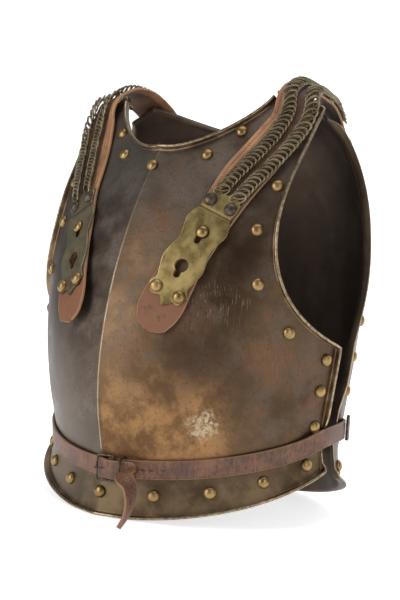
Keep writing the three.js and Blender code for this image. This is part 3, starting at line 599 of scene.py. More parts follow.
def strip(route, distance, left, right, low, thickness, columns, radius=0.8, relief=None):
    """A flat band with rounded edges, closed at both ends.

    distance is one row of places along the route, or a grid of them with a column for
    each place round the section. The section runs along the underside, round the two
    corners of one edge, over the top and round the other edge. relief(distance, aside)
    is added to the top's height. Returns vertices, faces, and the place along, the
    place aside and the edge mask of each vertex."""
    quarter = np.linspace(0, math.pi / 2, 4)
    under = np.linspace(1, -1, 9)
    over = np.linspace(-1, 1, columns)
    one = np.ones(4)
    share = np.concatenate([under, -one, -one, over, one, one])
    reach = np.concatenate([
        0 * under,
        -np.sin(quarter),
        -np.cos(quarter),
        0 * over,
        np.sin(quarter),
        np.cos(quarter),
    ]) * radius
    rise = np.concatenate([
        0 * under,
        radius * (1 - np.cos(quarter)),
        thickness - radius * (1 - np.sin(quarter)),
        0 * over + thickness,
        thickness - radius * (1 - np.cos(quarter)),
        radius * (1 - np.sin(quarter)),
    ])
    top = np.concatenate([0 * under, 0 * one, 0 * one + 0.5, 0 * over + 1, 0 * one + 0.5, 0 * one])
    edge = np.concatenate([0 * under, one, one * 0.8, 0 * over, one * 0.8, one])
    distance = np.asarray(distance, float)
    if distance.ndim == 1:
        distance = np.repeat(distance[:, None], len(share), axis=1)
    else:
        distance = np.array([np.interp(share, over, row) for row in distance])
    left, right = left(distance), right(distance)
    aside = (left + right) / 2 + share * ((right - left) / 2 - radius) + reach
    height = low + rise + 0 * distance
    if relief is not None:
        height = height + top * relief(distance, aside)
    points = route.place(distance, aside, height)
    stations, sides = distance.shape
    faces = tube_faces(stations, sides)
    return points.reshape(-1, 3), faces, distance.ravel(), aside.ravel(), np.tile(edge, stations)


def rod(path, flat, radius, sides=10, closed=False):
    """A round rod along a path: rings in the plane of the fixed direction flat and of
    the tangent's cross product with it."""
    path = np.asarray(path, float)
    radius = np.broadcast_to(np.asarray(radius, float), len(path))
    if closed:
        tangent = unit(np.roll(path, -1, axis=0) - np.roll(path, 1, axis=0))
    else:
        tangent = unit(np.gradient(path, axis=0))
    side = unit(np.cross(tangent, flat))
    other = np.cross(side, tangent)
    turn = np.linspace(0, 2 * math.pi, sides, endpoint=False)[None, :, None]
    rings = side[:, None] * np.cos(turn) - other[:, None] * np.sin(turn)
    points = path[:, None] + rings * radius[:, None, None]
    faces = tube_faces(len(path), sides, closed)
    return points.reshape(-1, 3), faces


def heads(seats, radius, height, rounds=28, steps=9, sink=0.5):
    """Domed heads: a quarter ellipse turned about each seat's normal, with a short
    skirt below it. Returns vertices, faces and a tone from 0 to 1 for each head."""
    turn = np.linspace(0, 2 * math.pi, rounds, endpoint=False)
    lift = np.linspace(0, math.pi / 2, steps)
    reach = np.concatenate([[radius * 0.97], radius * np.cos(lift[:-1]) ** 0.85, [0.02]])
    rise = np.concatenate([[-sink], height * np.sin(lift)])
    tones = np.random.default_rng(SEED).random(len(seats))
    vertices, faces, tone = [], [], []
    for k, (point, normal) in enumerate(seats):
        normal = unit(np.asarray(normal, float))
        side = unit(np.cross(normal, (0.3, 0.2, 1.0)))
        other = np.cross(normal, side)
        rings = side * np.cos(turn)[:, None] + other * np.sin(turn)[:, None]
        body = point + rings[None] * reach[:, None, None] + normal * rise[:, None, None]
        vertices.append(body.reshape(-1, 3))
        part = tube_faces(len(reach), rounds)
        shift = k * len(reach) * rounds
        faces.append(np.where(part < 0, -1, part + shift))
        tone.append(np.full(len(reach) * rounds, tones[k]))
    return np.concatenate(vertices), np.concatenate(faces), np.concatenate(tone)


def lathe(seat, profile, rounds=28):
    """A profile of (radius, height) rows turned about a seat's normal."""
    point, normal = seat
    side = unit(np.cross(normal, (0.3, 0.2, 1.0)))
    other = np.cross(normal, side)
    turn = np.linspace(0, 2 * math.pi, rounds, endpoint=False)
    rings = side * np.cos(turn)[:, None] + other * np.sin(turn)[:, None]
    profile = np.array(profile, float)
    body = point + rings[None] * profile[:, :1, None] + normal * profile[:, 1, None, None]
    return body.reshape(-1, 3), tube_faces(len(profile), rounds)


def cad_seat(node):
    """Base and axis of a domed head of the CAD. The axis is the principal direction
    whose spread differs from the other two, which are alike, and it looks outward."""
    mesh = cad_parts[node].data
    spots = np.empty(3 * len(mesh.vertices))
    mesh.vertices.foreach_get("co", spots)
    spots = (spots.reshape(-1, 3) - SHIFT) / MM
    centre = spots.mean(axis=0)
    spread, ways = np.linalg.eigh(np.cov((spots - centre).T))
    axis = ways[:, 0] if spread[1] - spread[0] > spread[2] - spread[1] else ways[:, 2]
    axis = axis * np.sign(axis @ (centre * (1, 1, 0)))
    return centre + axis * ((spots - centre) @ axis).min(), axis


# ---------- materials ----------


class Paint:
    """A material's nodes, each added by a short call that returns its output."""

    def __init__(self, name):
        self.material = bpy.data.materials.new(name)
        self.material.use_nodes = True
        self.tree = self.material.node_tree
        self.shader = self.tree.nodes["Principled BSDF"]
        coordinates = self.tree.nodes.new("ShaderNodeTexCoord")
        self.place = coordinates.outputs["Object"]
        split = self.tree.nodes.new("ShaderNodeSeparateXYZ")
        self.tree.links.new(self.place, split.inputs[0])
        self.x, self.y, self.z = split.outputs

    def put(self, socket, value):
        """Links an output to a socket, or sets a plain value on it."""
        if isinstance(value, bpy.types.NodeSocket):
            self.tree.links.new(value, socket)
        elif isinstance(value, tuple) and len(value) == 3 and socket.type == "RGBA":
            socket.default_value = (*value, 1)
        else:
            socket.default_value = value

    def noise(self, scale, detail=4, rough=0.55, vector=None, kind="FBM"):
        """Fractal noise, about 0 to 1."""
        node = self.tree.nodes.new("ShaderNodeTexNoise")
        node.noise_type = kind
        node.inputs["Scale"].default_value = scale
        node.inputs["Detail"].default_value = detail
        node.inputs["Roughness"].default_value = rough
        self.put(node.inputs["Vector"], vector or self.place)
        return node.outputs["Fac"]

    def stretched(self, scales, turn=(0, 0, 0)):
        """Object coordinates turned and scaled, for streaks and scratches."""
        node = self.tree.nodes.new("ShaderNodeMapping")
        node.inputs["Rotation"].default_value = turn
        node.inputs["Scale"].default_value = scales
        self.put(node.inputs["Vector"], self.place)
        return node.outputs[0]

    def math(self, operation, a, b=0.0, clamp=False):
        """One step of arithmetic."""
        node = self.tree.nodes.new("ShaderNodeMath")
        node.operation = operation
        node.use_clamp = clamp
        self.put(node.inputs[0], a)
        self.put(node.inputs[1], b)
        return node.outputs[0]

    def ramp(self, value, low, high, smooth=True):
        """0 below low and 1 above high (or the other way round), eased between."""
        node = self.tree.nodes.new("ShaderNodeMapRange")
        node.interpolation_type = "SMOOTHSTEP" if smooth else "LINEAR"
        flip = low > high
        self.put(node.inputs["Value"], value)
        node.inputs["From Min"].default_value = min(low, high)
        node.inputs["From Max"].default_value = max(low, high)
        node.inputs["To Min"].default_value = 1.0 if flip else 0.0
        node.inputs["To Max"].default_value = 0.0 if flip else 1.0
        return node.outputs[0]

    def mix(self, share, a, b, blend="MIX"):
        """A colour between a and b by a share, or the two blended another way."""
        node = self.tree.nodes.new("ShaderNodeMix")
        node.data_type = "RGBA"
        node.blend_type = blend
        self.put(node.inputs["Factor"], share)
        self.put(node.inputs["A"], a)
        self.put(node.inputs["B"], b)
        return node.outputs["Result"]

    def over(self, colour, mask, share, tint):
        """The colour with a tint laid over it by a share of a mask."""
        return self.mix(self.math("MULTIPLY", mask, share), colour, tint)

    def level(self, share, a, b):
        """A number between a and b by a share."""
        node = self.tree.nodes.new("ShaderNodeMix")
        node.data_type = "FLOAT"
        self.put(node.inputs["Factor"], share)
        self.put(node.inputs["A"], a)
        self.put(node.inputs["B"], b)
        return node.outputs["Result"]

    def blob(self, centre, radius, wobble=None, soft=0.5):
        """1 near a place in millimetres of the shapes' tables, fading out by radius."""
        node = self.tree.nodes.new("ShaderNodeVectorMath")
        node.operation = "DISTANCE"
        self.put(node.inputs[0], self.place)
        node.inputs[1].default_value = tuple(np.array(centre) * MM + SHIFT)
        distance = node.outputs["Value"]
        if wobble is not None:
            shift = self.math("MULTIPLY", self.math("SUBTRACT", wobble, 0.5), radius * MM * 1.6)
            distance = self.math("ADD", distance, shift)
        return self.ramp(distance, radius * MM, radius * MM * (1 - soft))

    def attribute(self, name):
        """A number stored on the mesh."""
        node = self.tree.nodes.new("ShaderNodeAttribute")
        node.attribute_name = name
        return node.outputs["Fac"]

    def all_of(self, *shares):
        """The product of masks."""
        result = shares[0]
        for share in shares[1:]:
            result = self.math("MULTIPLY", result, share)
        return result

    def bump(self, height, distance, strength=0.6, under=None):
        """A normal from a height; under is a normal that it adds to."""
        node = self.tree.nodes.new("ShaderNodeBump")
        node.inputs["Strength"].default_value = strength
        node.inputs["Distance"].default_value = distance
        self.put(node.inputs["Height"], height)
        if under is not None:
            self.put(node.inputs["Normal"], under)
        return node.outputs[0]

    def finish(self, colour, rough, metal=0.0, normal=None, coat=0.0):
        """Sets the shader and returns the material."""
        self.put(self.shader.inputs["Base Color"], colour)
        self.put(self.shader.inputs["Roughness"], rough)
        self.put(self.shader.inputs["Metallic"], metal)
        self.shader.inputs["Coat Weight"].default_value = coat
        if normal is not None:
            self.put(self.shader.inputs["Normal"], normal)
        return self.material


def breast_steel():
    """Aged steel of the breast: brown patina, a painted grey reflection on the wearer's right,
    painted highlights high up, down the keel and on the lip's edge, rust above the belt,
    scratches and a golden-brown lip."""
    p = Paint("breast_steel")
    cloud = p.noise(11, 6, 0.6)
    patch = p.noise(34, 5, 0.65)
    grain = p.noise(260, 3, 0.6)
    pits = p.noise(900, 2, 0.5)
    brown = p.mix(p.ramp(cloud, 0.3, 0.7), (0.062, 0.036, 0.019), (0.142, 0.088, 0.048))
    grey = p.mix(p.ramp(patch, 0.35, 0.7), (0.10, 0.079, 0.062), (0.175, 0.145, 0.12))
    # Painted reflection: the wearer's right is tinted grey for the soft box that its facet
    # reflects.
    painted_reflection_side = p.ramp(p.x, 0.001, -0.004)
    colour = p.mix(p.math("MULTIPLY", p.ramp(patch, 0.42, 0.66), 0.3), brown, grey)
    colour = p.over(colour, painted_reflection_side, 0.7, grey)
    # Painted highlight: the upper part is laid paler in patches, for the light that it catches.
    high = p.ramp(p.z, 0.27, 0.36)
    colour = p.mix(p.all_of(high, p.ramp(cloud, 0.3, 0.6)), colour, (0.17, 0.14, 0.115))
    red = p.all_of(p.ramp(p.noise(22, 5, 0.7), 0.5, 0.64), p.ramp(p.x, 0, 0.03))
    colour = p.over(colour, red, 0.5, (0.15, 0.072, 0.038))

    wobble = p.noise(30, 5, 0.7)
    dark = p.blob((92, -118, 158), 62, wobble, 0.8)
    dark_two = p.blob((120, -92, 262), 34, wobble, 0.8)
    colour = p.over(colour, dark, 0.55, (0.055, 0.032, 0.02))
    colour = p.over(colour, dark_two, 0.45, (0.05, 0.03, 0.02))
    rusty_height = p.math("ADD", p.z, p.math("MULTIPLY", p.math("SUBTRACT", wobble, 0.5), 0.09))
    rust = p.all_of(p.ramp(rusty_height, 0.175, 0.085), p.ramp(p.z, 0.05, 0.06))
    rust = p.all_of(rust, p.ramp(p.x, 0.0, 0.006), p.ramp(p.x, 0.13, 0.10))
    gold = p.mix(p.ramp(patch, 0.38, 0.6), (0.15, 0.07, 0.024), (0.36, 0.19, 0.07))
    colour = p.over(colour, rust, 0.9, gold)
    pale = p.blob((100, -122, 100), 19, p.noise(120, 4, 0.8), 0.55)
    colour = p.mix(p.all_of(pale, p.ramp(grain, 0.4, 0.6)), colour, (0.46, 0.38, 0.24))
    specks = p.all_of(p.ramp(p.noise(420, 4, 0.8), 0.54, 0.66), p.ramp(patch, 0.3, 0.55))
    colour = p.over(colour, specks, 0.65, (0.04, 0.024, 0.016))

    along_one = p.stretched((900, 900, 34), (0.5, 0.5, 0.2))
    scratch_one = p.ramp(p.noise(1, 2, 0.5, along_one), 0.64, 0.69)
    scratch_two = p.ramp(p.noise(1, 2, 0.5, p.stretched((800, 800, 30), (-0.6, 0.5, 0))), 0.64, 0.7)
    scratched = p.blob((100, -118, 215), 46, wobble, 0.8)
    everywhere = p.math("MULTIPLY", p.ramp(cloud, 0.5, 0.65), 0.35)
    scratches = p.math("MAXIMUM", scratch_one, scratch_two)
    scratches = p.math("MULTIPLY", scratches, p.math("MAXIMUM", scratched, everywhere))
    colour = p.over(colour, scratches, 0.35, (0.46, 0.37, 0.28))

    # Painted highlight: a pale line down the keel stands for the light that the ridge catches.
    keel_near = p.ramp(p.math("ABSOLUTE", p.x), 0.0014, 0.0003)
    keel = p.all_of(keel_near, p.ramp(p.z, 0.062, 0.068), p.ramp(p.y, 0, -0.02))
    keel = p.all_of(keel, p.ramp(patch, 0.2, 0.5))
    colour = p.over(colour, keel, 0.55, (0.52, 0.40, 0.28))

    flange = p.ramp(p.z, 0.052, 0.040)
    side_flange = p.all_of(p.ramp(p.z, 0.085, 0.075), p.ramp(p.math("ABSOLUTE", p.x), 0.14, 0.16))
    flange = p.math("MAXIMUM", flange, side_flange)
    khaki = p.mix(p.ramp(patch, 0.35, 0.65), (0.085, 0.055, 0.03), (0.19, 0.132, 0.072))
    colour = p.over(colour, flange, 0.85, khaki)

    kind = p.attribute("lip")
    lip = p.ramp(kind, 0.15, 0.6)
    worn = p.mix(p.ramp(patch, 0.4, 0.62), (0.13, 0.08, 0.043), (0.36, 0.245, 0.13))
    colour = p.over(colour, lip, 0.8, worn)
    # Painted highlight: the lip's cut edge is laid pale and bright.
    edge = p.ramp(kind, 1.55, 2.0)
    painted_edge_highlight = p.mix(p.ramp(grain, 0.35, 0.6), (0.18, 0.125, 0.07), (0.38, 0.29, 0.185))
    colour = p.mix(edge, colour, painted_edge_highlight)

    inside = p.attribute("inside")
    colour = p.over(colour, inside, 0.8, (0.07, 0.048, 0.03))

    rough = p.level(p.ramp(patch, 0.3, 0.7), 0.34, 0.52)
    rough = p.level(rust, rough, 0.55)
    rough = p.level(p.math("MAXIMUM", keel, edge), rough, 0.28)
    metal = p.level(rust, 0.86, 0.6)
    normal = p.bump(pits, 0.0003, 0.25)
    normal = p.bump(grain, 0.0006, 0.22, normal)
    normal = p.bump(p.math("ADD", p.noise(60, 3, 0.5), scratches), 0.0012, 0.12, normal)
    return p.finish(colour, rough, metal, normal)


def back_steel():
    """Brown steel of the back, with a worn lip, a painted highlight on the lip's edge and a dark
    brown inside.
    """
    p = Paint("back_steel")
    patch = p.noise(24, 5, 0.65)
    grain = p.noise(300, 3, 0.6)
    colour = p.mix(p.ramp(p.noise(10, 6, 0.6), 0.36, 0.66), (0.05, 0.03, 0.02), (0.17, 0.12, 0.085))
    colour = p.mix(p.ramp(patch, 0.45, 0.7), colour, (0.17, 0.145, 0.13))
    rust = p.all_of(p.ramp(p.noise(40, 5, 0.7), 0.55, 0.7), p.ramp(p.z, 0.2, 0.05))
    colour = p.over(colour, rust, 0.7, (0.26, 0.125, 0.04))
    kind = p.attribute("lip")
    worn = p.mix(p.ramp(patch, 0.4, 0.62), (0.11, 0.075, 0.045), (0.29, 0.215, 0.13))
    colour = p.over(colour, p.ramp(kind, 0.15, 0.6), 0.8, worn)
    # Painted highlight: the lip's cut edge is laid pale.
    edge = p.ramp(kind, 1.55, 2.0)
    colour = p.mix(edge, colour, (0.36, 0.275, 0.18))
    colour = p.over(colour, p.attribute("inside"), 0.7, (0.06, 0.04, 0.028))
    rough = p.level(edge, p.level(p.ramp(patch, 0.3, 0.7), 0.38, 0.58), 0.3)
    normal = p.bump(grain, 0.0006, 0.3)
    normal = p.bump(p.noise(60, 3, 0.5), 0.0012, 0.12, normal)
    return p.finish(colour, rough, 0.85, normal)


def dull_brass(name, light, dark, stain, grey=0.0):
    """Worn brass: a light and a dark tone, brown stains, and a groove darkened to the stains'
    colour. On the wearer's right it turns grey by the given share."""
    p = Paint(name)
    patch = p.noise(70, 5, 0.65)
    grain = p.noise(500, 3, 0.6)
    tone = p.attribute("tone")
    colour = p.mix(p.ramp(patch, 0.3, 0.7), dark, light)
    colour = p.over(colour, tone, 0.45, dark)
    rim = p.attribute("edge")
    colour = p.over(colour, p.ramp(rim, 0.2, 0.9), 0.35, light)
    stains = p.all_of(p.ramp(p.noise(120, 5, 0.75), 0.56, 0.68), p.ramp(patch, 0.6, 0.4))
    colour = p.over(colour, stains, 0.7, stain)
    # The groove is darkened to the stain's colour.
    colour = p.mix(p.attribute("groove"), colour, stain)
    colour = p.over(colour, p.ramp(p.x, 0.02, -0.02), grey, (0.25, 0.23, 0.17))
    rough = p.level(p.ramp(patch, 0.3, 0.7), 0.3, 0.46)
    normal = p.bump(grain, 0.0004, 0.2)
    return p.finish(colour, rough, 0.92, normal)


def dark_iron():
    """Iron with brown rust on it."""
    p = Paint("dark_iron")
    patch = p.noise(150, 5, 0.7)
    colour = p.mix(p.ramp(patch, 0.4, 0.65), (0.05, 0.04, 0.034), (0.17, 0.12, 0.085))
    normal = p.bump(p.noise(700, 3, 0.6), 0.0004, 0.4)
    return p.finish(colour, p.level(patch, 0.35, 0.6), 0.85, normal)


def strap_leather():
    """Leather of the shoulders: tan on the flap beside the chains, dark brown under them,
    with a red-brown tongue, darker creases and black stains."""
    p = Paint("strap_leather")
    broad = p.noise(28, 5, 0.6)
    fine = p.noise(340, 5, 0.7)
    pores = p.noise(1300, 2, 0.5)
    tan = p.mix(p.ramp(broad, 0.3, 0.7), (0.27, 0.12, 0.048), (0.46, 0.235, 0.105))
    brown = p.mix(p.ramp(broad, 0.3, 0.7), (0.065, 0.032, 0.02), (0.17, 0.082, 0.045))
    colour = p.mix(p.attribute("flap"), brown, tan)
    tongue = p.ramp(p.attribute("along"), 60, 40)
    colour = p.over(colour, tongue, 0.8, (0.21, 0.078, 0.03))
    colour = p.over(colour, p.ramp(fine, 0.5, 0.75), 0.5, (0.13, 0.06, 0.03))
    stains = p.all_of(p.ramp(p.noise(55, 5, 0.75), 0.56, 0.66), p.ramp(fine, 0.3, 0.6))
    colour = p.over(colour, stains, 0.75, (0.05, 0.028, 0.018))
    rim = p.ramp(p.attribute("edge"), 0.3, 0.9)
    colour = p.over(colour, rim, 0.6, (0.42, 0.235, 0.12))
    # Painted shade: the awl holes, dimpled only, are laid near black for the shade inside them.
    colour = p.mix(p.attribute("hole_shade"), colour, (0.035, 0.018, 0.012))
    rough = p.level(broad, 0.5, 0.72)
    normal = p.bump(pores, 0.0003, 0.35)
    normal = p.bump(fine, 0.0006, 0.35, normal)
    return p.finish(colour, rough, 0.0, normal)


def belt_leather():
    """Red-brown belt leather, dry and cracked along and across, with paler edges."""
    p = Paint("belt_leather")
    broad = p.noise(36, 5, 0.65)
    fine = p.noise(420, 5, 0.7)
    cracks = p.noise(1, 4, 0.7, p.stretched((420, 420, 120)))
    colour = p.mix(p.ramp(broad, 0.32, 0.68), (0.085, 0.034, 0.018), (0.20, 0.086, 0.04))
    colour = p.over(colour, p.ramp(cracks, 0.5, 0.62), 0.75, (0.045, 0.022, 0.015))
    colour = p.over(colour, p.ramp(fine, 0.55, 0.72), 0.45, (0.28, 0.14, 0.07))
    rim = p.ramp(p.attribute("edge"), 0.3, 0.9)
    colour = p.over(colour, rim, 0.5, (0.34, 0.175, 0.085))
    # Painted shade: the buckle's slits, dimpled only, are laid near black for the shade inside
    # them.
    colour = p.mix(p.attribute("hole_shade"), colour, (0.03, 0.016, 0.012))
    normal = p.bump(cracks, 0.0008, 0.4)
    normal = p.bump(fine, 0.0005, 0.4, normal)
    return p.finish(colour, p.level(broad, 0.42, 0.62), 0.0, normal, 0.08)


# ---------- pieces ----------


def plate_shape(plate):
    """Vertices, quads and attributes of a whole plate."""
    points = sheet_grid(plate)
    rows, columns = points.shape[:2]
    if plate is BREAST:
        points = points + hammering(points)
    return solid_sheet(points, lip_stands(plate, rows, columns), plate["thickness"])


DENTS = [  # place on the breast, radius and depth
    ((128, -80, 176), 7, 0.9),
    ((118, -88, 186), 5, 0.7),
    ((127, -82, 196), 4, 0.6),
    ((60, -140, 150), 9, 0.5),
    ((-90, -120, 120), 10, 0.5),
]


def hammering(points):
    """Small dents, each a bell curve of its depth over the distance from its middle."""
    shift = np.zeros(points.shape)
    for centre, radius, depth in DENTS:
        distance = np.linalg.norm(points - centre, axis=-1)
        inward = unit(-points * (1, 1, 0))
        shift += inward * (depth * np.exp(-((distance / radius) ** 2)))[..., None]
    return shift


def make_plates():
    """The two plates, as smooth sheets with turned lips."""
    vertices, quads, attributes = BREAST_SHAPE
    piece = add_mesh("breast_sheet", vertices, quads, breast_steel(), 70, attributes)
    dress(piece, "steel", "breastplate")
    vertices, quads, attributes = plate_shape(BACK)
    piece = add_mesh("back_sheet", vertices, quads, back_steel(), 70, attributes)
    dress(piece, "back_steel", "backplate")


BREAST_SHAPE = plate_shape(BREAST)
LOWEST = BREAST_SHAPE[0].min(axis=0)
CORNER = np.array(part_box("breastplate")[0])
SHIFT = np.array([0, CORNER[1] - LOWEST[1] * MM, CORNER[2] - LOWEST[2] * MM])


# ---------- shoulder straps ----------


def column(rows, i):
    """A function of the place that runs smoothly through the rows' values: between two
    rows a cubic, whose slope at each row is that of the values on its two sides."""
    place, value = np.array(rows, float)[:, [0, i]].T
    slope = np.gradient(value, place)

    def at(spot):
        k = np.clip(np.searchsorted(place, spot) - 1, 0, len(place) - 2)
        width = place[k + 1] - place[k]
        t = np.clip((spot - place[k]) / width, 0, 1)
        bend = 3 * t**2 - 2 * t**3
        start, end = slope[k] * width * t * (1 - t) ** 2, slope[k + 1] * width * t**2 * (t - 1)
        return value[k] + (value[k + 1] - value[k]) * bend + start + end

    return at


def leather_relief(distance, aside, length, neck_side):
    """Height added to the leather's face, and the mask of its awl holes: two rows of
    small round holes near the edge on the neck's side, and a soft unevenness."""
    inner = neck_side(distance)
    holes = np.zeros(distance.shape)
    for row_in, start in ((4.5, 0.0), (9.0, 1.3)):
        near = (distance - start + 1.4) % 2.8 - 1.4
        across = np.abs(aside) - (inner - row_in)
        holes += np.exp(-((near / 0.62) ** 2) - (across / 0.62) ** 2)
    holes = holes * smooth((distance - 150) / 6) * smooth((0.9 * length - distance) / 8)
    wave = 0.16 * np.sin(distance / 7.3) * np.cos(aside / 5.1 + distance / 31)
    return wave - 0.9 * np.clip(holes, 0, 1), np.clip(holes * 1.5, 0, 1)


def cut_keyholes(piece, route):
    """Cuts the two keyholes through a strap's piece: a round hole and a slot below it."""
    radius, slot_half, slot_end = KEYHOLE["radius"], KEYHOLE["slot_half"], KEYHOLE["slot_end"]
    meet = math.asin(slot_half / radius)
    round_turn = np.linspace(-math.pi / 2 + meet, 1.5 * math.pi - meet, 36)
    slot_turn = np.linspace(math.pi, 2 * math.pi, 12)
    outline = np.concatenate([
        np.stack([radius * np.cos(round_turn), radius * np.sin(round_turn)], -1),
        np.stack([
            slot_half * np.cos(slot_turn),
            slot_half - slot_end + slot_half * np.sin(slot_turn),
        ], -1),
    ])
    for at in KEYHOLES:
        point, along, across, out = (v[0] for v in route.frames(BRASS["upper_keyhole"] + at))
        flat = point + across * outline[:, :1] + along * outline[:, 1:]
        both = np.concatenate([flat - out * 12, flat + out * 12])
        sides = len(outline)
        cutter_mesh = bpy.data.meshes.new("keyhole_cutter")
        faces = tube_faces(2, sides)[:sides].tolist()
        faces += [list(range(sides - 1, -1, -1)), list(range(sides, 2 * sides))]
        cutter_mesh.from_pydata((both * MM + SHIFT).tolist(), [], faces)
        cutter = bpy.data.objects.new("keyhole_cutter", cutter_mesh)
        bpy.context.scene.collection.objects.link(cutter)
        cut = piece.modifiers.new("cut", "BOOLEAN")
        cut.object = cutter
        cut.solver = "EXACT"
        depsgraph = bpy.context.evaluated_depsgraph_get()
        old = piece.data
        piece.data = bpy.data.meshes.new_from_object(piece.evaluated_get(depsgraph))
        piece.modifiers.clear()
        bpy.data.meshes.remove(old)
        bpy.data.objects.remove(cutter)
        bpy.data.meshes.remove(cutter_mesh)
    piece.data.set_sharp_from_angle(angle=math.radians(50))


def make_leather(name, sign, route, material):
    """The leather strap, from its tongue over the shoulder to the rear plate."""
    neck, arm = column(LEATHER_ROWS, 1), column(LEATHER_ROWS, 2)
    length = route.length

    def neck_side(distance):
        return neck(distance / length)

    def left(distance):
        return -(neck if sign > 0 else arm)(distance / length)

    def right(distance):
        return (arm if sign > 0 else neck)(distance / length)

    def relief(distance, aside):
        height = leather_relief(distance, aside, length, neck_side)[0]
        return height * smooth(-sign * aside / 2)

    tip = 4 * (1 - np.cos(np.linspace(0, math.pi / 2, 14)))
    stations = np.concatenate([tip, np.arange(4 + LEATHER["step"], length, LEATHER["step"])])
    vertices, faces, along, aside, edge = strip(
        route, stations, left, right, 0, LEATHER["thickness"], LEATHER["columns"], 0.9, relief
    )
    # Painted shade: this mask lays near black into the awl holes.
    holes = leather_relief(along, aside, length, neck_side)[1] * (-sign * aside > 0)
    flap = smooth((-sign * aside - 9) / 3) * smooth((along - 148) / 6)
    values = {"along": along, "edge": edge, "hole_shade": holes * (edge < 0.1), "flap": flap}
    piece = add_mesh(f"strap_leather_{name}", vertices, faces, material, 60, values)
    cut_keyholes(piece, route)
    return dress(piece, "leather", f"shoulder_leather_{name}")


def make_brass_plate(name, route, material):
    """The brass plate: waved sides, a lower edge drawn into a small point between two
    lobes, and a groove below the chain's rivets."""
    half = column(BRASS_ROWS, 1)
    upper, top, bottom = BRASS["upper_keyhole"], BRASS["top"], BRASS["bottom"]
    share = np.linspace(-1, 1, 41)
    lower = bottom - BRASS["point"] * np.exp(-((share / 0.12) ** 2))
    lower = lower + 2.6 * np.exp(-(((np.abs(share) - 0.36) / 0.16) ** 2))
    lower = lower + 9 * np.clip((np.abs(share) - 0.72) / 0.28, 0, 1) ** 2.2
    upper_end = top - 4 * np.clip((np.abs(share) - 0.75) / 0.25, 0, 1) ** 2
    stations = np.linspace(0, 1, 130)[:, None]
    places = upper + lower + (upper_end - lower) * stations

    def side(distance):
        return half(distance - upper)

    def relief(distance, aside):
        return -0.7 * np.exp(-(((distance - upper - BRASS["groove"]) / 1.7) ** 2))

    vertices, faces, along, aside, edge = strip(
        route,
        places,
        lambda distance: -side(distance),
        side,
        LEATHER["thickness"] + 0.3,
        BRASS["thickness"],
        41,
        0.45,
        relief,
    )
    groove = 0.75 * np.exp(-(((along - upper - BRASS["groove"]) / 2.4) ** 2))
    values = {"edge": edge, "groove": groove, "tone": 0 * groove}
    piece = add_mesh(f"keyhole_plate_{name}", vertices, faces, material, 45, values)
    cut_keyholes(piece, route)
    return dress(piece, "strap_brass", f"shoulder_plate_{name}")


def make_chain(name, sign, route, row, asides, material):
    """A row of curb links. Each link is a ring, an oval of the two half widths, turned
    in the leather's plane by the slant and about its width by the tilt, so that each
    lies on the next one's end."""
    start, end = CHAIN["starts_at"], CHAIN["end_share"] * route.length
    count = int((end - start) / LINK["pitch"])
    places = np.linspace(start, end, count)
    aside = sign * np.interp(np.linspace(0, len(asides) - 1, count), np.arange(len(asides)), asides)
    turn = np.linspace(0, 2 * math.pi, 14, endpoint=False)[:, None]
    section = np.linspace(0, 2 * math.pi, 6, endpoint=False)[None, :]
    wire = LINK["wire"] * np.cos(section)
    x = (LINK["across"] + wire) * np.cos(turn)
    y = (LINK["along"] + wire) * np.sin(turn)
    z = LINK["wire"] * np.sin(section) + 0 * turn
    ring = np.stack([x, y, z], axis=-1).reshape(-1, 3)
    i, j = np.meshgrid(np.arange(14), np.arange(6), indexing="ij")
    next_i, next_j = (i + 1) % 14, (j + 1) % 6
    quads = np.stack([i * 6 + j, next_i * 6 + j, next_i * 6 + next_j, i * 6 + next_j], -1)
    quads = quads.reshape(-1, 4)
    random = np.random.default_rng(SEED + len(row) + sign)
    tilt = np.radians(LINK["tilt"] + random.normal(0, 4, count))
    slant = np.radians(sign * LINK["slant"] + random.normal(0, 4, count))
    tilted = np.stack([
        ring[None, :, 0] + 0 * tilt[:, None],
        ring[None, :, 1] * np.cos(tilt)[:, None] - ring[None, :, 2] * np.sin(tilt)[:, None],
        ring[None, :, 1] * np.sin(tilt)[:, None] + ring[None, :, 2] * np.cos(tilt)[:, None],
    ], -1)
    local_x = tilted[..., 0] * np.cos(slant)[:, None] - tilted[..., 1] * np.sin(slant)[:, None]
    local_y = tilted[..., 0] * np.sin(slant)[:, None] + tilted[..., 1] * np.cos(slant)[:, None]
    height = LEATHER["thickness"] + CHAIN["clearance"] + CHAIN["thickness"] / 2
    point, along, across, out = route.frames(places)
    centre = point + across * aside[:, None] + out * height
    vertices = centre[:, None] + local_x[..., None] * across[:, None]
    vertices = vertices + local_y[..., None] * along[:, None]
    vertices = (vertices + tilted[..., 2, None] * out[:, None]).reshape(-1, 3)
    faces = (quads[None] + (np.arange(count) * 84)[:, None, None]).reshape(-1, 4)
    tone = np.repeat(random.random(count), 84)
    piece = add_mesh(f"chain_links_{name}_{row}", vertices, faces, material, 0, {"tone": tone})
    return dress(piece, "chain", f"chain_{name}_{row}")


def button_seat(route, at, aside, height):
    """A seat above the strap at a place from the upper keyhole."""
    point, _, across, out = (v[0] for v in route.frames(BRASS["upper_keyhole"] + at))
    return point + across * aside + out * height, out


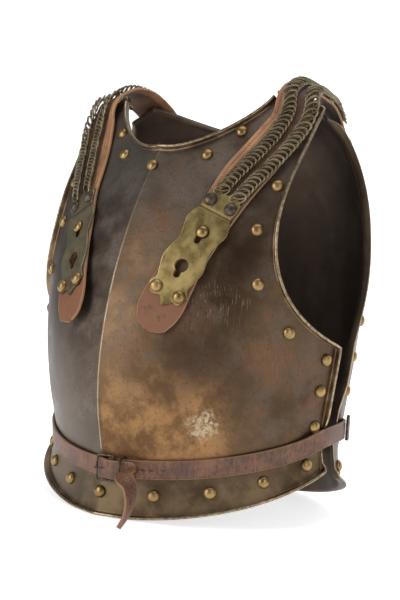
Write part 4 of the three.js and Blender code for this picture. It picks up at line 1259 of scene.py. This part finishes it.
def make_straps():
    """Both shoulder straps with everything on them."""
    leather = strap_leather()
    olive = dull_brass(
        "strap_brass", (0.41, 0.31, 0.125), (0.25, 0.175, 0.065), (0.09, 0.055, 0.025), 0.6
    )
    chain = dull_brass(
        "chain_brass", (0.33, 0.27, 0.16), (0.14, 0.108, 0.062), (0.06, 0.044, 0.026)
    )
    iron = dark_iron()
    gold = dull_brass("rivet_brass", (0.46, 0.31, 0.13), (0.24, 0.15, 0.06), (0.11, 0.06, 0.025))
    for name, sign in SIDES:
        route = strap_route(sign)
        make_leather(name, sign, route, leather)
        make_brass_plate(name, route, olive)
        for row, asides in CHAIN_ROWS.items():
            make_chain(name, sign, route, row, asides, chain)
        on_brass = LEATHER["thickness"] + BRASS["thickness"] + FITTING_GAP
        for label, head, material in (
            ("iron_rivet", IRON_HEAD, iron),
            ("plate_rivet", BRASS_HEAD, gold),
        ):
            seats = [
                button_seat(route, head["at"], hand * head["aside"], on_brass) for hand in (-1, 1)
            ]
            vertices, faces, tone = heads(seats, head["radius"], head["height"])
            values = {"tone": tone}
            piece = add_mesh(f"{label}_heads_{name}", vertices, faces, material, 0, values)
            nodes = [f"{label}_{name}_1", f"{label}_{name}_2"]
            dress(piece, "iron" if label == "iron_rivet" else "brass", *nodes)
        base, out = button_seat(route, 0, 0, -0.3)
        shank = on_brass + 0.3
        dome = [
            (6.1 * math.cos(a), shank + 0.9 + 3.3 * math.sin(a)) for a in np.linspace(0, 1.5, 9)
        ]
        profile = [(0.05, 0), (3, 0), (3, shank - 1), (3.2, shank), (5.7, shank)]
        vertices, faces = lathe((base, out), profile + dome + [(0.02, shank + 4.2)])
        values = {"tone": np.full(len(vertices), 0.35)}
        piece = add_mesh(f"breast_stud_{name}", vertices, faces, gold, 40, values)
        dress(piece, "iron", f"strap_button_{name}")
        make_rear_plate(name, route, olive, gold)
    return gold, iron


def make_rear_plate(name, route, olive, gold):
    """The plain plate over the strap's rear end, and its two rivet heads."""
    middle = route.length - REAR_PLATE["length"] / 2 - 3
    low = LEATHER["thickness"] + FITTING_GAP
    half = REAR_PLATE["half"]
    share = np.linspace(-1, 1, 25)
    corner = 3.5 * np.clip((np.abs(share) - 0.82) / 0.18, 0, 1) ** 2
    ends = REAR_PLATE["length"] / 2 - corner
    places = middle + np.linspace(-1, 1, 40)[:, None] * ends
    vertices, faces, _, _, edge = strip(
        route,
        places,
        lambda distance: 0 * distance - half,
        lambda distance: 0 * distance + half,
        low,
        REAR_PLATE["thickness"],
        25,
        0.6,
    )
    values = {"edge": edge, "groove": 0 * edge, "tone": 0 * edge + 0.3}
    piece = add_mesh(f"rear_plate_{name}", vertices, faces, olive, 45, values)
    dress(piece, "strap_brass", f"rear_strap_plate_{name}")
    at = middle - BRASS["upper_keyhole"]
    top = low + REAR_PLATE["thickness"]
    seats = [button_seat(route, at, hand * REAR_HEADS_ASIDE, top) for hand in (-1, 1)]
    vertices, faces, tone = heads(seats, BRASS_HEAD["radius"], BRASS_HEAD["height"])
    piece = add_mesh(f"rear_rivet_heads_{name}", vertices, faces, gold, 0, {"tone": tone})
    dress(piece, "brass")


# ---------- rivets of the plates ----------

BACK_RIVETS = [(58, 352), (63, 304), (67, 254), (74, 209), (81, 172), (81, 136)]
BACK_FLANGE_ANGLES = (0, 20, 40, 60, 78)
FLANGE_ROW = 0.585


def seat_on_flange(plate, angle, share):
    """The flange's point and outward normal."""
    across = flange_at(plate, angle + 0.5, share) - flange_at(plate, angle - 0.5, share)
    up = flange_at(plate, angle, share - 0.02) - flange_at(plate, angle, share + 0.02)
    return flange_at(plate, angle, share), unit(np.cross(across, up))


def make_rivets(gold):
    """The brass heads of both plates."""
    prefixes = ("neck_rivet", "arm_rivet", "side_rivet", "flange_rivet")
    nodes = sorted(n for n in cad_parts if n.startswith(prefixes))
    vertices, faces, tone = heads([cad_seat(n) for n in nodes], 6.4, 4.6)
    piece = add_mesh("breast_rivet_heads", vertices, faces, gold, 0, {"tone": tone})
    dress(piece, "brass", *nodes)
    seats = []
    for sign in (1, -1):
        seats += [seat_on(BACK, sign * angle, z) for angle, z in BACK_RIVETS]
        seats += [
            seat_on_flange(BACK, sign * angle, FLANGE_ROW)
            for angle in BACK_FLANGE_ANGLES
            if angle or sign > 0
        ]
    lifted = [(point + normal * BACK["thickness"] / 2, normal) for point, normal in seats]
    vertices, faces, tone = heads(lifted, 6.4, 4.6)
    piece = add_mesh("back_rivet_heads", vertices, faces, gold, 0, {"tone": tone})
    dress(piece, "brass")


# ---------- belt ----------

SLITS = [18, 27.5, 36, 44.5, 57]  # places of the buckle's slits from the strap's end
BELT_STEP = 1.0


def make_belt_strap(name, route, material, slits, taper=None):
    """One strap of the belt: even width, worn edges, a creased line along each edge,
    and short slits for the buckle's tongue."""
    half = BELT["width"] / 2

    def reach(distance):
        if taper is None:
            return half + 0 * distance
        near = np.clip((distance / route.length - taper["from"]) / (1 - taper["from"]), 0, 1)
        return half + (taper["tip_half"] - half) * near**2

    def slit_mask(distance, aside):
        mask = np.zeros(distance.shape)
        for place in slits:
            mask += np.exp(-(((distance - place) / 2.6) ** 4) - (np.abs(aside) / 0.75) ** 2)
        return np.clip(mask, 0, 1)

    def relief(distance, aside):
        line = np.exp(-(((reach(distance) - np.abs(aside) - 2.6) / 0.5) ** 2))
        wave = 0.22 * np.sin(distance / 9 + aside / 7) * np.cos(distance / 23)
        return wave - 0.3 * line - 0.9 * slit_mask(distance, aside)

    stations = np.arange(0, route.length, BELT_STEP)
    vertices, faces, along, aside, edge = strip(
        route,
        stations,
        lambda distance: -reach(distance),
        reach,
        0,
        BELT["thickness"],
        25,
        0.9,
        relief,
    )
    # Painted shade: this mask lays near black into the slits.
    holes = slit_mask(along, aside) * (edge < 0.1)
    values = {"along": along, "edge": edge, "hole_shade": holes}
    piece = add_mesh(f"belt_strap_{name}", vertices, faces, material, 60, values)
    return dress(piece, "belt", f"belt_{name}")


def rounded_loop(width, height, radius, steps=8):
    """Points of a rectangle with round corners, centred, as (x, y) rows."""
    points = []
    for k, (sx, sy) in enumerate(((1, 1), (-1, 1), (-1, -1), (1, -1))):
        turn = math.pi / 2 * (k + np.linspace(0, 1, steps))
        x = sx * (width / 2 - radius) + radius * np.cos(turn)
        y = sy * (height / 2 - radius) + radius * np.sin(turn)
        points.append(np.stack([x, y], -1))
    return np.concatenate(points)


def on_belt(angle, lift, local):
    """Places x along the belt, y up and z outward of the belt's seat at an angle."""
    point, normal = belt_seat(angle, lift)
    up = np.array([0.0, 0.0, 1.0])
    along = np.cross(up, normal)
    local = np.asarray(local, float)
    return point + local[..., :1] * along + local[..., 1:2] * up + local[..., 2:] * normal


def make_buckle(iron):
    """The buckle's frame and tongue, and the wire keeper beside it."""
    low = BELT_LIFT + BELT["thickness"] + BUCKLE["lift"]
    rod_radius = BUCKLE["thickness"] / 2
    loop = rounded_loop(BUCKLE["length"] - BUCKLE["rod"], BUCKLE["height"] - BUCKLE["rod"], 2.2)
    flat = np.concatenate([loop, np.full((len(loop), 1), rod_radius)], axis=1)
    _, normal = belt_seat(BUCKLE["angle"], low)
    path = on_belt(BUCKLE["angle"], low, flat)
    vertices, faces = rod(path, normal, rod_radius, 12, closed=True)
    piece = add_mesh("buckle_ring", vertices, faces, iron, 0)
    dress(piece, "iron", "buckle_frame")

    tongue_low = low + BUCKLE["thickness"] + PRONG["lift"]
    x = np.linspace(-BUCKLE["length"] / 2, PRONG["length"] - BUCKLE["length"] / 2, 20)
    share = (x - x[0]) / (x[-1] - x[0])
    height = PRONG["thickness"] / 2 - 0.5 * share
    path = on_belt(BUCKLE["angle"], tongue_low, np.stack([x, 0 * x, height], -1))
    vertices, faces = rod(path, normal, 1.0 - 0.45 * share, 10)
    piece = add_mesh("buckle_tongue", vertices, faces, iron, 0)
    dress(piece, "iron", "buckle_prong")

    keeper_low = BREAST["thickness"] / 2 + KEEPER["lift"]
    reach = STACKED + BELT["thickness"] + KEEPER["rod"] - BREAST["thickness"] / 2
    radius = KEEPER["rod"] / 2
    half = KEEPER["height"] / 2 - radius
    bend = 2.5
    corner = np.linspace(0, math.pi / 2, 7)
    right = np.stack([
        half - bend + bend * np.cos(corner),
        reach - radius - bend + bend * np.sin(corner),
    ], -1)
    side = np.stack([np.full(8, half), np.linspace(0, reach - bend - radius - 0.5, 8)], -1)
    upper = np.concatenate([side, right])
    outline = np.concatenate([upper, upper[::-1] * (-1, 1)])
    local = np.stack([0 * outline[:, 0], outline[:, 0], outline[:, 1]], -1)
    path = on_belt(KEEPER["angle"], keeper_low, local)
    _, normal = belt_seat(KEEPER["angle"], keeper_low)
    along = np.cross((0, 0, 1.0), normal)
    vertices, faces = rod(path, along, radius, 10)
    piece = add_mesh("keeper_loop", vertices, faces, iron, 0)
    dress(piece, "iron", "belt_keeper")


BELT_TAB = {"angle": 78.5, "z": 97, "width": 9.0, "height": 27.0, "thickness": 2.6, "lift": 6.6}


def make_tab(name, sign, iron):
    """The plate that rivets the belt's end to the back: a rounded slab."""
    point, normal = seat_on(BACK, -sign * BELT_TAB["angle"], BELT_TAB["z"])
    outward = unit(normal * (1, 1, 0))
    up = np.array([0.0, 0.0, 1.0])
    along = np.cross(up, outward)
    base = point + outward * (BACK["thickness"] / 2 + BELT_TAB["lift"])
    outer = rounded_loop(BELT_TAB["width"], BELT_TAB["height"], 4.2)
    inner = rounded_loop(BELT_TAB["width"] - 1, BELT_TAB["height"] - 1, 3.8)
    thick = BELT_TAB["thickness"]
    layers = [(outer, 0), (outer, thick - 0.5), (inner, thick)]
    rings = [
        base + loop[:, :1] * along + loop[:, 1:] * up + outward * height for loop, height in layers
    ]
    faces = tube_faces(3, len(outer))
    piece = add_mesh(f"belt_end_plate_{name}", np.concatenate(rings), faces, iron, 35)
    dress(piece, "iron", f"belt_tab_{name}")


def make_belt(iron):
    """Both straps of the belt with their metal."""
    left, right = belt_routes()
    leather = belt_leather()
    make_belt_strap("left", left, leather, [left.length - place for place in SLITS])
    make_belt_strap("right", right, leather, [right.length - 26], FREE_END_TAPER)
    make_buckle(iron)
    for name, sign in SIDES:
        make_tab(name, sign, iron)


# ---------- studio ----------


def make_stage():
    """A pale floor that curves up into a pale backdrop."""
    turn = np.linspace(0, math.pi / 2, 20)
    profile = np.concatenate([
        [[-4.0, 0.0], [1.2, 0.0]],
        np.stack([1.2 + 1.2 * np.sin(turn), 1.2 * (1 - np.cos(turn))], -1)[1:],
        [[2.4, 4.0]],
    ])
    vertices = [(x, y, z) for y, z in profile for x in (-5.0, 5.0)]
    faces = [(2 * k, 2 * k + 1, 2 * k + 3, 2 * k + 2) for k in range(len(profile) - 1)]
    mesh = bpy.data.meshes.new("studio_floor")
    mesh.from_pydata(vertices, [], faces)
    mesh.polygons.foreach_set("use_smooth", np.ones(len(faces), bool))
    floor = bpy.data.objects.new("studio_floor", mesh)
    bpy.context.scene.collection.objects.link(floor)
    pale = bpy.data.materials.new("pale_floor")
    pale.use_nodes = True
    shader = pale.node_tree.nodes["Principled BSDF"]
    shader.inputs["Base Color"].default_value = (0.93, 0.93, 0.93, 1)
    shader.inputs["Roughness"].default_value = 0.9
    shader.inputs["Emission Color"].default_value = (1, 1, 1, 1)
    shader.inputs["Emission Strength"].default_value = 0.6
    mesh.materials.append(pale)


def soft_light(name, place, target, size, power, colour=(1, 1, 1)):
    """A square soft box that looks at a target."""
    light = bpy.data.lights.new(name, "AREA")
    light.shape = "RECTANGLE"
    light.size, light.size_y = size
    light.energy = power
    light.color = colour
    lamp = bpy.data.objects.new(name, light)
    lamp.location = place
    way = Vector(target) - Vector(place)
    lamp.rotation_euler = way.to_track_quat("-Z", "Y").to_euler()
    bpy.context.scene.collection.objects.link(lamp)


CAMERA = {"azimuth": 36.3, "elevation": 1.6, "roll": 4.0, "distance": 1259, "lens": 68.88}
CAMERA_TARGET = {"aside": -3.0, "height": 216.6}


def make_camera():
    """The camera looks at a place near the middle of the cuirass, rolled a little."""
    turn, rise = math.radians(CAMERA["azimuth"]), math.radians(CAMERA["elevation"])
    roll = math.radians(CAMERA["roll"])
    right = np.array([math.cos(turn), math.sin(turn), 0])
    level_back = np.array([math.sin(turn), -math.cos(turn), 0])
    up = level_back * -math.sin(rise) + (0, 0, math.cos(rise))
    back = level_back * math.cos(rise) + (0, 0, math.sin(rise))
    target = right * CAMERA_TARGET["aside"] + (0, 0, CAMERA_TARGET["height"])
    place = (target + back * CAMERA["distance"]) * MM + SHIFT
    rolled_right = right * math.cos(roll) + up * math.sin(roll)
    rolled_up = up * math.cos(roll) - right * math.sin(roll)
    data = bpy.data.cameras.new("camera")
    data.lens = CAMERA["lens"]
    data.sensor_width = 36
    camera = bpy.data.objects.new("camera", data)
    turned = Matrix(np.stack([rolled_right, rolled_up, back], axis=1).tolist()).to_4x4()
    camera.matrix_world = Matrix.Translation(Vector(place.tolist())) @ turned
    bpy.context.scene.collection.objects.link(camera)
    bpy.context.scene.camera = camera


def make_lights():
    """Soft boxes at the left, right and above, and a dim even surround."""
    middle = (0, 0, 0.22)
    soft_light("key", (-0.7, -1.7, 0.75), middle, (0.9, 1.2), 17)
    soft_light("side", (1.9, -0.9, 0.9), middle, (0.8, 1.2), 8)
    soft_light("top", (0.1, 0.0, 1.9), middle, (1.4, 1.4), 12)
    soft_light("back", (0.2, 0.9, 1.5), (0, 2.2, 0.6), (2.0, 1.0), 20)
    world = bpy.data.worlds.new("surround")
    world.use_nodes = True
    background = world.node_tree.nodes["Background"]
    background.inputs["Color"].default_value = (0.9, 0.93, 1.0, 1)
    background.inputs["Strength"].default_value = 0.2
    bpy.context.scene.world = world
    bpy.context.scene.view_settings.view_transform = "Standard"


make_camera()
make_plates()
gold_brass, rough_iron = make_straps()
make_rivets(gold_brass)
make_belt(rough_iron)
make_stage()
make_lights()
